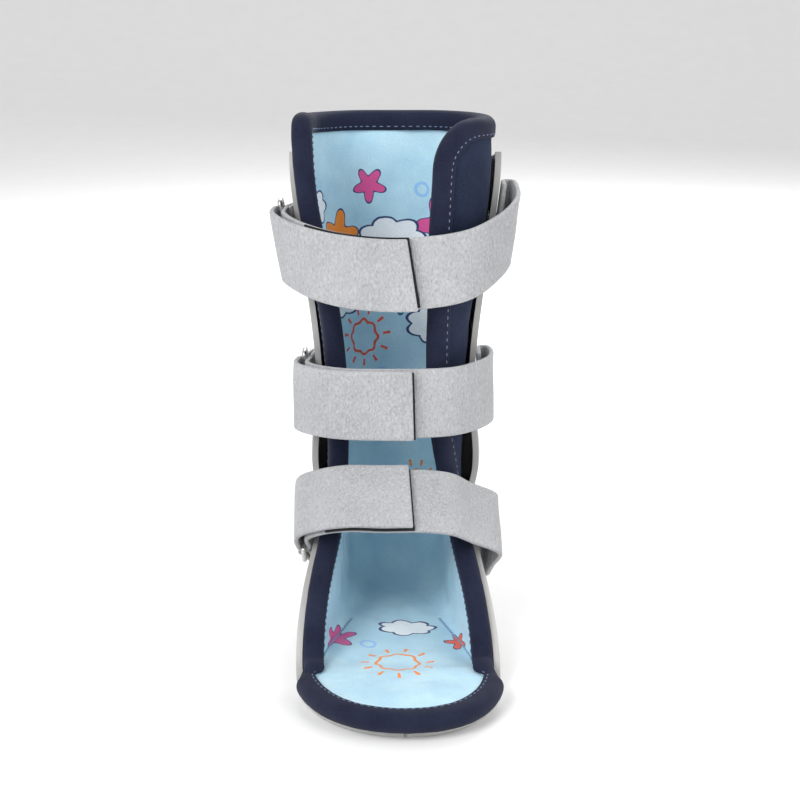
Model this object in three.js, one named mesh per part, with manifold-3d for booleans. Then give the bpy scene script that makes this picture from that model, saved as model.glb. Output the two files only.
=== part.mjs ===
// A child's ankle-foot walking boot: a one-piece plastic shell that stands on its sole, a padded
// liner with a bound edge, and three straps that pass through metal rings.
// Millimetres, +Z up, the toe towards -Y, the rings on the -X side.
// The origin is on the sole's underside, below the ankle.

import * as THREE from 'three';
import { mergeVertices } from 'three/addons/utils/BufferGeometryUtils.js';
import Module from 'manifold-3d';

const wasm = await Module();
wasm.setup();

// Shell
const SHELL_HEIGHT = 204;
const FOOT_LENGTH = 156;
const CALF_WIDTH = 90;
const HEEL_WIDTH = 64;
const BALL_WIDTH = 84;
const HEEL_BACK = 38;
const HEEL_RADIUS = 28;
const ANKLE_HEIGHT = 70;
const ANKLE_FRONT = 24;
const WALL = 2.6;
const EDGE_LIP = 0.3;
const CORNER_LIFT = 6;
const TOE_SHIFT = 4.2;
const ANKLE_BULGE = { out: 4, up: 75, back: 8, spread: 15 };

// Liner
const LINER_HEIGHT = 222;
const PAD = 4;
const LINING = 1;
const SIDE_GAP = 2.9;
const TOUCH_GAP = 0.3;
const SEAT_GAP = 0.4;
const TAPE_GAP = 1.5;
const TOE_GAP = 3.3;
const WING_LEFT = 16;
const WING_RIGHT = 38;
const WING_LIFT = { left: 6, right: 2 };
const WING_CORNER = { left: 9, right: 18 };
const LINER_ROUND = 6.5;
const TOE_LAP = 1.4;
const BINDING_WIDTH = 7;
const BINDING_WALL = 0.8;
const NOTCH_AT = 2.67;

// Labels on the liner's back
const LABEL_THICK = 0.7;
const BLUE_PATCH = { below: 8.8, tall: 20.2, from: 0.28, to: 0.78 };
const WHITE_LABEL = { below: 8, tall: 16, from: -0.37, to: 0.267 };

// Straps, rings and tabs
const STRAP_WIDTH = 30;
const STRAP_THICK = 2;
const HOOK_THICK = 1.2;
const LAYER_GAP = 0.4;
const FOLD_RADIUS = 2.2;
const WIRE = 2.2;
const RING_LENGTH = 36;
const RING_WIDTH = 10.5;
const RING_CORNER = 1.6;
const TAB_WIDTH = 26;
const TAB_THICK = 1.4;
const TAB_LENGTH = 15;
const RIVET_RADIUS = 1.5;
const RIVET_HEAD = { radius: 2.4, thick: 0.6 };
const RIVET_SIDES = 7;
const RIVET_GAP = 0.7;
const RING_GAP = 0.5;
const TAB_GAP = 0.8;

// Cut-outs in the shell's back
const PENGUIN_HEIGHT = 43;
const PENGUIN_BASE = 148;
const DOLPHIN_LENGTH = 30.5;
const DOLPHIN_CENTRE = 119.5;
const PINWHEEL_RADIUS = 12.6;
const PINWHEEL_CENTRE = 82.5;
const HEEL_WINDOW = { radius: 10.9, centre: 44 };

// The shell is a trough that runs down the leg, turns about the bend line at the ankle and runs on
// to the toe. A place along it is 0 at the top, 1 where the turn starts, 2 where it ends, 3 at the toe.
const LEG_DEPTH = HEEL_BACK + ANKLE_FRONT;
const LEG_RUN = SHELL_HEIGHT - ANKLE_HEIGHT;
const FOREFOOT = FOOT_LENGTH - LEG_DEPTH;
const QUARTER = Math.PI / 2;

// down: share of the leg's run. half: share of half the calf's width. back: how far the back stands
// behind the heel, and edge: the front edge from the bend line, both shares of the leg's depth.
const LEG_SECTIONS = [
  { down: 0.0, half: 1.0, back: 0.05, edge: 0.45, round: 0.73 },
  { down: 0.04, half: 0.995, back: 0.045, edge: 0.39, round: 0.72 },
  { down: 0.12, half: 0.978, back: 0.035, edge: 0.385, round: 0.7 },
  { down: 0.24, half: 0.928, back: 0.015, edge: 0.385, round: 0.68 },
  { down: 0.37, half: 0.866, back: -0.005, edge: 0.385, round: 0.64 },
  { down: 0.52, half: 0.807, back: -0.025, edge: 0.385, round: 0.6 },
  { down: 0.66, half: 0.772, back: -0.033, edge: 0.38, round: 0.57 },
  { down: 0.8, half: 0.757, back: -0.022, edge: 0.37, round: 0.555 },
  { down: 1.0, half: 0.75, back: 0.0, edge: 0.33, round: 0.56 },
];

// turn: share of the quarter turn round the heel. half and round: shares of half the heel's width.
const HEEL_SECTIONS = [
  { turn: 0.25, half: 1.03, edge: 0.28, round: 0.79 },
  { turn: 0.5, half: 1.0, edge: 0.25, round: 0.8 },
  { turn: 0.75, half: 1.01, edge: 0.27, round: 0.68 },
];

// ahead: share of the forefoot. half and round: shares of half the ball's width, with the toe's
// outline by formula. edge: height of the side wall, a share of the ankle's height.
const FOOT_SECTIONS = [
  { ahead: 0.0, half: 0.82, edge: 0.7, round: 0.41 },
  { ahead: 0.14, half: 0.88, edge: 0.585, round: 0.36 },
  { ahead: 0.3, half: 0.945, edge: 0.45, round: 0.3 },
  { ahead: 0.44, half: 0.985, edge: 0.31, round: 0.25 },
  { ahead: 0.53, half: 1.0, edge: 0.17, round: 0.16 },
  { ahead: 0.59, half: 1.0, edge: 0.06, round: 0.1 },
  { ahead: 0.63, half: 1.0, edge: 0.0, round: 0.08 },
  { ahead: 1.0, half: 1.0, edge: 0.0, round: 0.08 },
];
const TOE_FROM = 0.5;
const TOE_POWER = 2.3;

const SECTIONS = [
  ...LEG_SECTIONS.map((row) => ({
    at: row.down,
    half: (row.half * CALF_WIDTH) / 2,
    back: row.back * LEG_DEPTH,
    edge: row.edge * LEG_DEPTH,
    round: (row.round * CALF_WIDTH) / 2,
  })),
  ...HEEL_SECTIONS.map((row) => ({
    at: 1 + row.turn,
    half: (row.half * HEEL_WIDTH) / 2,
    back: 0,
    edge: row.edge * LEG_DEPTH,
    round: (row.round * HEEL_WIDTH) / 2,
  })),
  ...FOOT_SECTIONS.map((row) => ({
    at: 2 + row.ahead,
    half: (row.half * BALL_WIDTH) / 2,
    back: 0,
    edge: ANKLE_HEIGHT - Math.max(row.edge * ANKLE_HEIGHT, WALL + EDGE_LIP),
    round: (row.round * BALL_WIDTH) / 2,
  })),
];

// The liner's wings past the shell's edge. left and right: shares of the wings' lengths. The curls
// are in degrees, inwards, and lap says how far the liner's edge has come down over the sole's edge.
const WINGS = [
  { at: -0.14, left: 1.0, leftCurl: -8, right: 1.0, rightCurl: 76, lap: 0 },
  { at: 0.15, left: 1.0, leftCurl: 6, right: 1.0, rightCurl: 75, lap: 0 },
  { at: 0.42, left: 0.95, leftCurl: 24, right: 0.9, rightCurl: 66, lap: 0 },
  { at: 0.8, left: 0.9, leftCurl: 26, right: 0.74, rightCurl: 54, lap: 0 },
  { at: 1.0, left: 0.8, leftCurl: 20, right: 0.54, rightCurl: 30, lap: 0 },
  { at: 1.3, left: 0.55, leftCurl: 8, right: 0.3, rightCurl: 8, lap: 0 },
  { at: 1.7, left: 0.35, leftCurl: 0, right: 0.15, rightCurl: 0, lap: 0 },
  { at: 2.0, left: 0.3, leftCurl: 0, right: 0.12, rightCurl: 0, lap: 0 },
  { at: 2.45, left: 0.2, leftCurl: 0, right: 0.08, rightCurl: 0, lap: 0 },
  { at: 2.59, left: 0.04, leftCurl: 0, right: 0.02, rightCurl: 0, lap: 0 },
  { at: 2.63, left: 0.0, leftCurl: 0, right: 0.0, rightCurl: 0, lap: 0.2 },
  { at: 2.7, left: 0.0, leftCurl: 0, right: 0.0, rightCurl: 0, lap: 1 },
  { at: 3.0, left: 0.0, leftCurl: 0, right: 0.0, rightCurl: 0, lap: 1 },
];

// Value of a table's column at a place, on a smooth curve through its rows.
function valueAt(rows, column, at) {
  const last = rows.length - 1;
  if (at <= rows[0].at) return rows[0][column];
  if (at >= rows[last].at) return rows[last][column];
  let i = 0;
  while (at > rows[i + 1].at) i += 1;
  const slope = (k) => {
    const before = rows[Math.max(k - 1, 0)];
    const after = rows[Math.min(k + 1, last)];
    return (after[column] - before[column]) / (after.at - before.at);
  };
  const span = rows[i + 1].at - rows[i].at;
  const t = (at - rows[i].at) / span;
  const start = rows[i][column];
  const end = rows[i + 1][column];
  return start * (1 + 2 * t) * (1 - t) ** 2 + end * (3 - 2 * t) * t ** 2
    + span * (slope(i) * t * (1 - t) ** 2 - slope(i + 1) * t ** 2 * (1 - t));
}

function smoothStep(from, to, value) {
  const t = Math.min(Math.max((value - from) / (to - from), 0), 1);
  return t * t * (3 - 2 * t);
}

// Distance from the bend line to a face that lies `depth` inside the shell's outer face, along the
// middle of the back, the heel and the sole.
function reach(at, depth) {
  if (at <= 1) return LEG_DEPTH + valueAt(SECTIONS, 'back', at) - depth;
  if (at >= 2) return ANKLE_HEIGHT - depth;
  const turn = (at - 1) * QUARTER;
  const toBack = Math.cos(turn);
  const toSole = Math.sin(turn);
  const centreBack = LEG_DEPTH - HEEL_RADIUS;
  const centreSole = ANKLE_HEIGHT - HEEL_RADIUS;
  const along = centreBack * toBack + centreSole * toSole;
  const aside = centreBack * toSole - centreSole * toBack;
  const round = along + Math.sqrt(Math.max((HEEL_RADIUS - depth) ** 2 - aside ** 2, 0));
  if (round * toBack > centreBack && round * toSole > centreSole) return round;
  return Math.min((LEG_DEPTH - depth) / toBack, (ANKLE_HEIGHT - depth) / toSole);
}

// Half the shell's outer width, with the toe's round outline grown by `grow`.
function halfWidth(at, grow = 0) {
  const half = valueAt(SECTIONS, 'half', at);
  const share = (at - 2 - TOE_FROM) * FOREFOOT / ((1 - TOE_FROM) * FOREFOOT + grow);
  return share > 0 ? half * (1 - Math.min(share, 1) ** TOE_POWER) ** (1 / TOE_POWER) : half;
}

// A point of a section: x across, out from the bend line, in the section's own plane.
function place(at, x, out) {
  if (at <= 1) return new THREE.Vector3(x, out - ANKLE_FRONT, SHELL_HEIGHT - at * LEG_RUN);
  if (at < 2) {
    const turn = (at - 1) * QUARTER;
    return new THREE.Vector3(x, out * Math.cos(turn) - ANKLE_FRONT, ANKLE_HEIGHT - out * Math.sin(turn));
  }
  const ahead = at - 2;
  return new THREE.Vector3(
    x + TOE_SHIFT * ahead ** 2,
    -ANKLE_FRONT - ahead * FOREFOOT,
    ANKLE_HEIGHT - out,
  );
}

// How far the wall bulges sideways over the ankle bones.
function bulge(y, z) {
  const apart = (y - ANKLE_BULGE.back) ** 2 + (z - ANKLE_BULGE.up) ** 2;
  return ANKLE_BULGE.out * Math.exp(-apart / (2 * ANKLE_BULGE.spread ** 2));
}

// Walks from the middle of a section along straight and curved pieces: x across, d from the outer
// face towards the bend line, and the direction as an angle from straight across.
function walk(pieces) {
  const points = [{ x: 0, d: 0, angle: 0 }];
  let { x, d, angle } = points[0];
  for (const { length, turn, steps } of pieces) {
    const step = length / steps;
    const bend = turn / steps;
    const chord = bend ? (2 * step * Math.sin(bend / 2)) / bend : step;
    for (let i = 0; i < steps; i += 1) {
      x += chord * Math.cos(angle + bend / 2);
      d += chord * Math.sin(angle + bend / 2);
      angle += bend;
      points.push({ x, d, angle });
    }
  }
  return points;
}

// The point at a distance along a row of points, straight on past its end.
function pointAlong(points, distance) {
  let left = distance;
  for (let i = 1; i < points.length; i += 1) {
    const [start, end] = [points[i - 1], points[i]];
    const length = Math.hypot(end.x - start.x, end.d - start.d);
    if (left <= length || i === points.length - 1) {
      const share = length > 0 ? left / length : 0;
      return {
        x: start.x + (end.x - start.x) * share,
        d: start.d + (end.d - start.d) * share,
        angle: start.angle + (end.angle - start.angle) * Math.min(share, 1),
      };
    }
    left -= length;
  }
  return points[0];
}

const rowLength = (points) => points.slice(1).reduce((sum, p, i) => (
  sum + Math.hypot(p.x - points[i].x, p.d - points[i].d)
), 0);

// Half of the shell's section, from the middle of the back or sole to the wall's edge.
function shellHalf(at) {
  const half = halfWidth(at);
  const round = valueAt(SECTIONS, 'round', at);
  const span = reach(at, 0) - valueAt(SECTIONS, 'edge', at);
  const turn = span >= round ? QUARTER : Math.acos(1 - span / round);
  const arm = Math.max(span - round, 0);
  return walk([
    { length: Math.max(half - round * Math.sin(turn), 0.5), turn: 0, steps: 1 },
    { length: round * turn, turn, steps: 6 },
    { length: arm, turn: 0, steps: 1 },
  ]);
}

// A whole section from the -X edge to the +X edge.
function mirrorJoin(left, right) {
  const leftSide = left.slice(1).reverse().map((p) => ({ ...p, side: -1 }));
  return [...leftSide, ...right.map((p) => ({ ...p, side: 1 }))];
}

function shellPoint(at, p, depth) {
  const inward = reach(at, 0) - reach(at, depth);
  const x = p.side * (p.x - depth * Math.sin(p.angle));
  const out = reach(at, 0) - p.d - inward * Math.cos(p.angle);
  const point = place(at, x, out);
  const span = reach(at, 0) - valueAt(SECTIONS, 'edge', at);
  const top = 1 - smoothStep(0, 0.6, at);
  point.z += CORNER_LIFT * top * (p.d / span) ** 2;
  point.x += p.side * bulge(point.y, point.z) * smoothStep(0, QUARTER, p.angle);
  return point;
}

// The gap under the liner: it sits on the shell's sole and stands off the back and the toe.
function seat(at) {
  const offBack = 1 - smoothStep(1.3, 1.7, at);
  const offToe = smoothStep(2.45, 2.64, at);
  return SEAT_GAP + (SIDE_GAP - SEAT_GAP) * offBack + (TOE_GAP - SEAT_GAP) * offToe;
}

// Half of the liner's section on one side: 'left' or 'right'.
function linerHalf(at, wing) {
  const side = WALL + SIDE_GAP;
  const round = Math.max(valueAt(SECTIONS, 'round', at) - side, LINER_ROUND);
  const lap = Math.min(Math.max(valueAt(WINGS, 'lap', at), 0), 1);
  const grow = TOE_LAP * 2 * lap;
  const flat = halfWidth(at, grow) - (1 - lap) * (side + round) + lap * TOE_LAP;
  const turn = QUARTER * (1 - lap);
  const span = reach(at, WALL + seat(at)) - valueAt(SECTIONS, 'edge', at);
  const arm = Math.max(span - round, 0) * (1 - lap);
  const top = Math.max(LINER_HEIGHT - (SHELL_HEIGHT - at * LEG_RUN), 0);
  const corner = WING_CORNER[wing];
  const cut = top < corner ? corner - Math.sqrt(corner ** 2 - (corner - top) ** 2) : 0;
  const full = (wing === 'left' ? WING_LEFT : WING_RIGHT) * valueAt(WINGS, wing, at);
  const curl = THREE.MathUtils.degToRad(valueAt(WINGS, `${wing}Curl`, at));
  const length = Math.max(full - cut, 0.02);
  return walk([
    { length: Math.max(flat, 0.5), turn: 0, steps: 1 },
    { length: round * turn, turn, steps: 4 },
    { length: arm, turn: 0, steps: 1 },
    { length, turn: full > 0 ? (curl * length) / full : 0, steps: wing === 'left' ? 1 : 3 },
  ]);
}

// A point `depth` inside the liner's own outer face.
function linerPoint(at, p, depth) {
  const outer = WALL + seat(at);
  const inward = reach(at, outer) - reach(at, outer + depth);
  const x = p.side * (p.x - depth * Math.sin(p.angle));
  const along = Math.cos(p.angle);
  const point = place(at, x, reach(at, outer) - p.d - (along > 0 ? inward : depth) * along);
  const span = LEG_DEPTH - WALL;
  const top = 1 - smoothStep(-0.14, 0.6, at);
  const lift = p.side < 0 ? WING_LIFT.left : WING_LIFT.right;
  point.z += lift * top * Math.min(p.d / span, 1) ** 2;
  return point;
}

// A point of the liner by its distance across from the middle, negative towards -X.
function linerAt(at, across, depth) {
  const side = across < 0 ? -1 : 1;
  const half = linerHalf(at, side < 0 ? 'left' : 'right');
  return linerPoint(at, { ...pointAlong(half, Math.abs(across)), side }, depth);
}

function steps(from, to, count) {
  return Array.from({ length: count + 1 }, (_, i) => from + ((to - from) * i) / count);
}

// A closed wall between two grids of points, rows along the boot and columns across.
function wallBetween(outer, inner) {
  const rows = outer.length;
  const columns = outer[0].length;
  const positions = [...outer.flat(), ...inner.flat()].flatMap((p) => p.toArray());
  const at = (skin, row, column) => (skin * rows + row) * columns + column;
  const faces = [];
  const quad = (a, b, c, d) => faces.push(a, b, c, a, c, d);
  for (let r = 0; r < rows - 1; r += 1) {
    for (let c = 0; c < columns - 1; c += 1) {
      quad(at(0, r, c), at(0, r + 1, c), at(0, r + 1, c + 1), at(0, r, c + 1));
      quad(at(1, r, c), at(1, r, c + 1), at(1, r + 1, c + 1), at(1, r + 1, c));
    }
    quad(at(0, r, 0), at(1, r, 0), at(1, r + 1, 0), at(0, r + 1, 0));
    const end = columns - 1;
    quad(at(0, r, end), at(0, r + 1, end), at(1, r + 1, end), at(1, r, end));
  }
  for (let c = 0; c < columns - 1; c += 1) {
    quad(at(0, 0, c), at(0, 0, c + 1), at(1, 0, c + 1), at(1, 0, c));
    const end = rows - 1;
    quad(at(0, end, c), at(1, end, c), at(1, end, c + 1), at(0, end, c + 1));
  }
  return indexedGeometry(positions, faces);
}

function indexedGeometry(positions, faces) {
  const geometry = new THREE.BufferGeometry();
  geometry.setAttribute('position', new THREE.Float32BufferAttribute(positions, 3));
  geometry.setIndex(faces);
  return outward(geometry);
}

// Turns the faces round if they point into the body.
function outward(geometry) {
  const p = geometry.getAttribute('position');
  const index = geometry.getIndex().array;
  const [a, b, c] = [new THREE.Vector3(), new THREE.Vector3(), new THREE.Vector3()];
  let volume = 0;
  for (let i = 0; i < index.length; i += 3) {
    a.fromBufferAttribute(p, index[i]);
    b.fromBufferAttribute(p, index[i + 1]);
    c.fromBufferAttribute(p, index[i + 2]);
    volume += a.dot(b.cross(c));
  }
  if (volume < 0) {
    for (let i = 0; i < index.length; i += 3) {
      [index[i], index[i + 1]] = [index[i + 1], index[i]];
    }
  }
  return geometry;
}

function toSolid(geometry) {
  const bare = geometry.clone();
  bare.deleteAttribute('normal');
  bare.deleteAttribute('uv');
  const merged = mergeVertices(bare, 1e-4);
  return new wasm.Manifold(new wasm.Mesh({
    numProp: 3,
    vertProperties: new Float32Array(merged.getAttribute('position').array),
    triVerts: new Uint32Array(merged.getIndex().array),
  }));
}

function toGeometry(solid) {
  const mesh = solid.getMesh();
  return indexedGeometry(Array.from(mesh.vertProperties), Array.from(mesh.triVerts));
}

function cut(geometry, cutters) {
  let solid = toSolid(geometry);
  for (const cutter of cutters) solid = solid.subtract(toSolid(cutter));
  return toGeometry(solid);
}

const material = (color, roughness, metalness = 0) => (
  new THREE.MeshStandardMaterial({ color, roughness, metalness })
);
const MATERIALS = {
  plastic: material(0xd2d2d0, 0.45),
  navy: material(0x1a2136, 0.9),
  tape: material(0x1c2238, 0.8),
  lining: material(0xa8d2ea, 0.9),
  strap: material(0xcfd0d4, 0.9),
  hook: material(0x141414, 0.9),
  steel: material(0xc4c6c8, 0.3, 1),
  blue: material(0x4a86d8, 0.95),
  white: material(0xf2f2f6, 0.7),
};

const boot = new THREE.Group();

function add(name, geometry, finish) {
  const mesh = new THREE.Mesh(geometry, MATERIALS[finish]);
  mesh.name = name;
  boot.add(mesh);
  return mesh;
}

// A solid of one outline along a row of frames: p is the place, u and v the outline's two axes.
function sweep(frames, outline, closed = false) {
  const rings = frames.map(({ p, u, v }) => outline.map(([a, b]) => (
    p.clone().addScaledVector(u, a).addScaledVector(v, b)
  )));
  return joinRings(rings, outline, closed);
}

// Joins rings of points, each of them the same outline, and closes the two ends.
function joinRings(rings, outline, closed) {
  const sides = outline.length;
  const positions = rings.flat().flatMap((p) => p.toArray());
  const faces = [];
  const links = closed ? rings.length : rings.length - 1;
  for (let i = 0; i < links; i += 1) {
    const j = (i + 1) % rings.length;
    for (let k = 0; k < sides; k += 1) {
      const next = (k + 1) % sides;
      const [a, b, c, d] = [i * sides + k, i * sides + next, j * sides + next, j * sides + k];
      faces.push(a, b, c, a, c, d);
    }
  }
  if (!closed) {
    const flat = outline.map(([a, b]) => new THREE.Vector2(a, b));
    const clockwise = THREE.ShapeUtils.isClockWise(flat);
    const last = sides * (rings.length - 1);
    for (const [a, b, c] of THREE.ShapeUtils.triangulateShape(flat, [])) {
      const [m, n] = clockwise ? [b, c] : [c, b];
      faces.push(a, m, n, last + a, last + n, last + m);
    }
  }
  return indexedGeometry(positions, faces);
}

// A flat band along a row of { p, across } frames.
function ribbon(frames, width, thick) {
  const turned = frames.map(({ p, across }, i) => {
    const before = frames[Math.max(i - 1, 0)].p;
    const after = frames[Math.min(i + 1, frames.length - 1)].p;
    return { p, u: across, v: after.clone().sub(before).cross(across).normalize() };
  });
  const [w, t] = [width / 2, thick / 2];
  return sweep(turned, [[-w, -t], [w, -t], [w, t], [-w, t]]);
}

// A round wire along a closed row of points in one plane.
function wireLoop({ points, normal }, radius, sides) {
  const count = points.length;
  const frames = points.map((p, i) => {
    const along = points[(i + 1) % count].clone().sub(points[(i + count - 1) % count]).normalize();
    return { p, u: along.cross(normal).normalize(), v: normal };
  });
  const outline = steps(0, 2 * Math.PI, sides).slice(1)
    .map((angle) => [radius * Math.cos(angle), radius * Math.sin(angle)]);
  return sweep(frames, outline, true);
}

// Half the shell's outer width at a height and a distance behind the origin, on its side wall.
function sideAt(y, z) {
  const behind = y + ANKLE_FRONT;
  const below = ANKLE_HEIGHT - z;
  let at = 2 - behind / FOREFOOT;
  let out = below;
  if (below <= 0) {
    at = (SHELL_HEIGHT - z) / LEG_RUN;
    out = behind;
  } else if (behind > 0) {
    at = 1 + Math.atan2(below, behind) / QUARTER;
    out = Math.hypot(behind, below);
  }
  const half = halfWidth(at);
  const round = valueAt(SECTIONS, 'round', at);
  const d = Math.min(Math.max(reach(at, 0) - out, 0), round);
  return half - round + Math.sqrt(round ** 2 - (round - d) ** 2) + bulge(y, z);
}

// Each strap lies in its own slanted plane. `low` is the plane's middle at the rings' line, `lean`
// the slope of its forward direction in degrees, and ahead how far the strap stands before that line.
// The rises say how far its two ends sit above its front, along its width.
const STRAPS = [
  {
    name: 'top', back: 2, up: 0.809 * SHELL_HEIGHT, lean: 0, ahead: 35, bow: 5.5, ringRise: 8, anchorRise: 17,
    foldBack: 10, clear: 0.3,
  },
  {
    name: 'middle', back: 2, up: 0.537 * SHELL_HEIGHT, lean: 0, ahead: 34.5, bow: 4.5, ringRise: -2.5, anchorRise: -1.5,
    foldBack: 10, clear: 0.3,
  },
  {
    name: 'instep', back: 4.5 - ANKLE_FRONT, up: 0.593 * ANKLE_HEIGHT, lean: 50, ahead: 37, bow: 10, ringRise: 9.5, anchorRise: 7,
    foldBack: 13, clear: 1.6,
  },
];

// A strap's plane: a point x across, a ahead of the rings' line and w along the strap's width.
function strapPlane(strap) {
  const lean = THREE.MathUtils.degToRad(strap.lean);
  const forward = new THREE.Vector3(0, -Math.cos(lean), Math.sin(lean));
  const across = new THREE.Vector3(0, Math.sin(lean), Math.cos(lean));
  const origin = new THREE.Vector3(0, strap.back, strap.up);
  const at = (x, a, w) => origin.clone()
    .addScaledVector(forward, a).addScaledVector(across, w).setX(x);
  // The shell's half width under the strap at one side, and how it changes over the strap's width.
  const under = (a, w) => {
    const high = at(0, a, w + STRAP_WIDTH / 2);
    const low = at(0, a, w - STRAP_WIDTH / 2);
    const middle = at(0, a, w);
    const [top, bottom, centre] = [high, low, middle].map((p) => sideAt(p.y, p.z));
    return { wide: Math.max((top + bottom) / 2, centre), slope: (top - bottom) / STRAP_WIDTH };
  };
  return { at, across, under };
}

const LAYER_STEP = STRAP_THICK + HOOK_THICK + 2 * LAYER_GAP;
const BAR_OFFSET = WIRE / 2 + RING_GAP + STRAP_THICK / 2;

// The strap's places around the boot, worked out once for the strap, its hook patch and its ring.
function strapRoute(strap) {
  const { at, across, under } = strapPlane(strap);
  const anchor = under(-strap.foldBack / 2, strap.anchorRise);
  const ring = under(-2, strap.ringRise);
  const gap = strap.clear + STRAP_THICK / 2;
  const inner = anchor.wide + gap;
  const outer = inner + 2 * FOLD_RADIUS;
  const bar = ring.wide + strap.clear + WIRE / 2 + STRAP_THICK + 2 * RING_GAP;
  const near = bar - BAR_OFFSET;
  // front: the strap from its fold to the ring's bar, as x, a (ahead) and w (rise)
  const front = [
    [outer, -strap.foldBack, 1],
    [outer + strap.bow * 0.15, -strap.foldBack * 0.4, 0.95],
    [anchor.wide + strap.bow + 1, strap.ahead * 0.22, 0.75],
    [anchor.wide * 0.97, strap.ahead * 0.6, 0.42],
    [anchor.wide * 0.7, strap.ahead * 0.88, 0.16],
    [anchor.wide * 0.3, strap.ahead * 1.0, 0.02],
  ].map(([x, a, share]) => new THREE.Vector3(x, a, share * strap.anchorRise));
  front.push(...[
    [-ring.wide * 0.15, strap.ahead * 1.0, 0.0],
    [-ring.wide * 0.55, strap.ahead * 0.93, 0.2],
    [-ring.wide * 0.88, strap.ahead * 0.7, 0.55],
    [-near - 0.5, strap.ahead * 0.4, 0.9],
    [-near, strap.ahead * 0.16, 1],
  ].map(([x, a, share]) => new THREE.Vector3(x, a, share * strap.ringRise)));
  const curve = new THREE.CatmullRomCurve3(front, false, 'centripetal');
  return { at, across, anchor, ring, inner, outer, bar, near, barAhead: strap.ahead * 0.16, curve };
}

// A frame of the strap from its plane coordinates, tilted sideways as the shell's side is.
function strapFrame(route, x, a, w, tilt) {
  const across = route.across.clone().setX(tilt).normalize();
  return { p: route.at(x, a, w), across };
}

function tiltAt(route, x) {
  const slope = x > 0 ? route.anchor.slope : -route.ring.slope;
  const wide = x > 0 ? route.anchor.wide : route.ring.wide;
  return slope * Math.min(Math.abs(x) / wide, 1) ** 3;
}

// The second layer lies outside the first, `off` from middle to middle.
function layerOver(route, share, off) {
  const p = route.curve.getPoint(share);
  const t = route.curve.getTangent(share);
  const outwards = new THREE.Vector2(-t.y, t.x).normalize().negate();
  const x = p.x + outwards.x * off;
  const a = p.y + outwards.y * off;
  return { x, a, w: p.z };
}

const HOOK_FROM = 0.5;
const FREE_END = 0.52;

function strapFrames(strap, route) {
  const frames = [];
  const push = (x, a, w, tilt = tiltAt(route, x)) => frames.push(strapFrame(route, x, a, w, tilt));
  push(route.inner, 0, strap.anchorRise);
  push(route.inner, -strap.foldBack * 0.5, strap.anchorRise);
  for (const turn of steps(0, Math.PI, 5)) {
    const x = route.inner + FOLD_RADIUS * (1 - Math.cos(turn));
    push(x, -strap.foldBack - FOLD_RADIUS * Math.sin(turn), strap.anchorRise);
  }
  for (const share of steps(0.03, 1, 16)) {
    const p = route.curve.getPoint(share);
    push(p.x, p.y, p.z);
  }
  for (const turn of steps(0, Math.PI, 5).slice(1)) {
    const x = -route.bar + BAR_OFFSET * Math.cos(turn);
    push(x, route.barAhead - BAR_OFFSET * Math.sin(turn), strap.ringRise);
  }
  for (const share of steps(0.95, FREE_END, 8)) {
    const settle = smoothStep(0.7, 1, share);
    const { x, a, w } = layerOver(route, share, LAYER_STEP + (2 * BAR_OFFSET - LAYER_STEP) * settle);
    push(x, a, w);
  }
  return frames;
}

function hookFrames(strap, route) {
  return steps(0.76, HOOK_FROM, 8).map((share) => {
    const { x, a, w } = layerOver(route, share, LAYER_STEP / 2);
    return strapFrame(route, x, a, w, tiltAt(route, x));
  });
}

// The ring: a rounded rectangle of wire whose front bar the strap turns round.
function ringPoints(route, strap) {
  const across = route.across.clone().setX(-route.ring.slope).normalize();
  const middle = route.at(-route.bar, route.barAhead - (RING_WIDTH - WIRE) / 2, strap.ringRise);
  const backwards = route.at(0, -1, 0).sub(route.at(0, 0, 0));
  const [long, wide] = [(RING_LENGTH - WIRE) / 2, (RING_WIDTH - WIRE) / 2];
  const points = [];
  const corners = [[1, 1, 0], [-1, 1, 1], [-1, -1, 2], [1, -1, 3]];
  for (const [l, b, quarter] of corners) {
    for (const turn of steps(0, QUARTER, 2)) {
      const angle = quarter * QUARTER + turn;
      const alongLong = l * (long - RING_CORNER) + RING_CORNER * Math.cos(angle);
      const alongWide = b * (wide - RING_CORNER) + RING_CORNER * Math.sin(angle);
      points.push(middle.clone().addScaledVector(across, alongLong).addScaledVector(backwards, alongWide));
    }
  }
  const normal = across.clone().cross(backwards).normalize();
  return { points, normal };
}

// The middle of the tab's inner and outer layer, as distances across, at a place ahead of the rings.
function tabLayers(route, strap) {
  const rear = route.barAhead - (RING_WIDTH - WIRE);
  const offset = WIRE / 2 + RING_GAP + TAB_THICK / 2;
  const surface = (a) => {
    const widest = [-TAB_WIDTH / 2, 0, TAB_WIDTH / 2].map((w) => {
      const spot = route.at(0, a, strap.ringRise + w);
      return sideAt(spot.y, spot.z) - route.ring.slope * w;
    });
    return Math.max(...widest) + TAB_GAP + TAB_THICK / 2;
  };
  const near = (a) => (1 + (a - rear) / TAB_LENGTH) ** 2;
  const step = TAB_THICK + TOUCH_GAP;
  const inner = (a) => surface(a) + Math.max(route.bar - offset - surface(rear), 0) * near(a);
  const outer = (a) => surface(a) + step + (route.bar + offset - surface(rear) - step) * near(a);
  return { rear, offset, inner, outer };
}

// The tab: webbing that goes round the ring's rear bar, with both ends under one rivet.
function tabFrames(route, strap) {
  const { rear, offset, inner, outer } = tabLayers(route, strap);
  const frames = [];
  const push = (x, a) => frames.push(strapFrame(route, -x, a, strap.ringRise, -route.ring.slope));
  for (const a of steps(rear - TAB_LENGTH, rear, 4)) push(inner(a), a);
  for (const turn of steps(0, Math.PI, 5).slice(1, -1)) {
    push(route.bar - offset * Math.cos(turn), rear + offset * Math.sin(turn));
  }
  for (const a of steps(rear, rear - TAB_LENGTH, 4)) push(outer(a), a);
  return frames;
}

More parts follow.
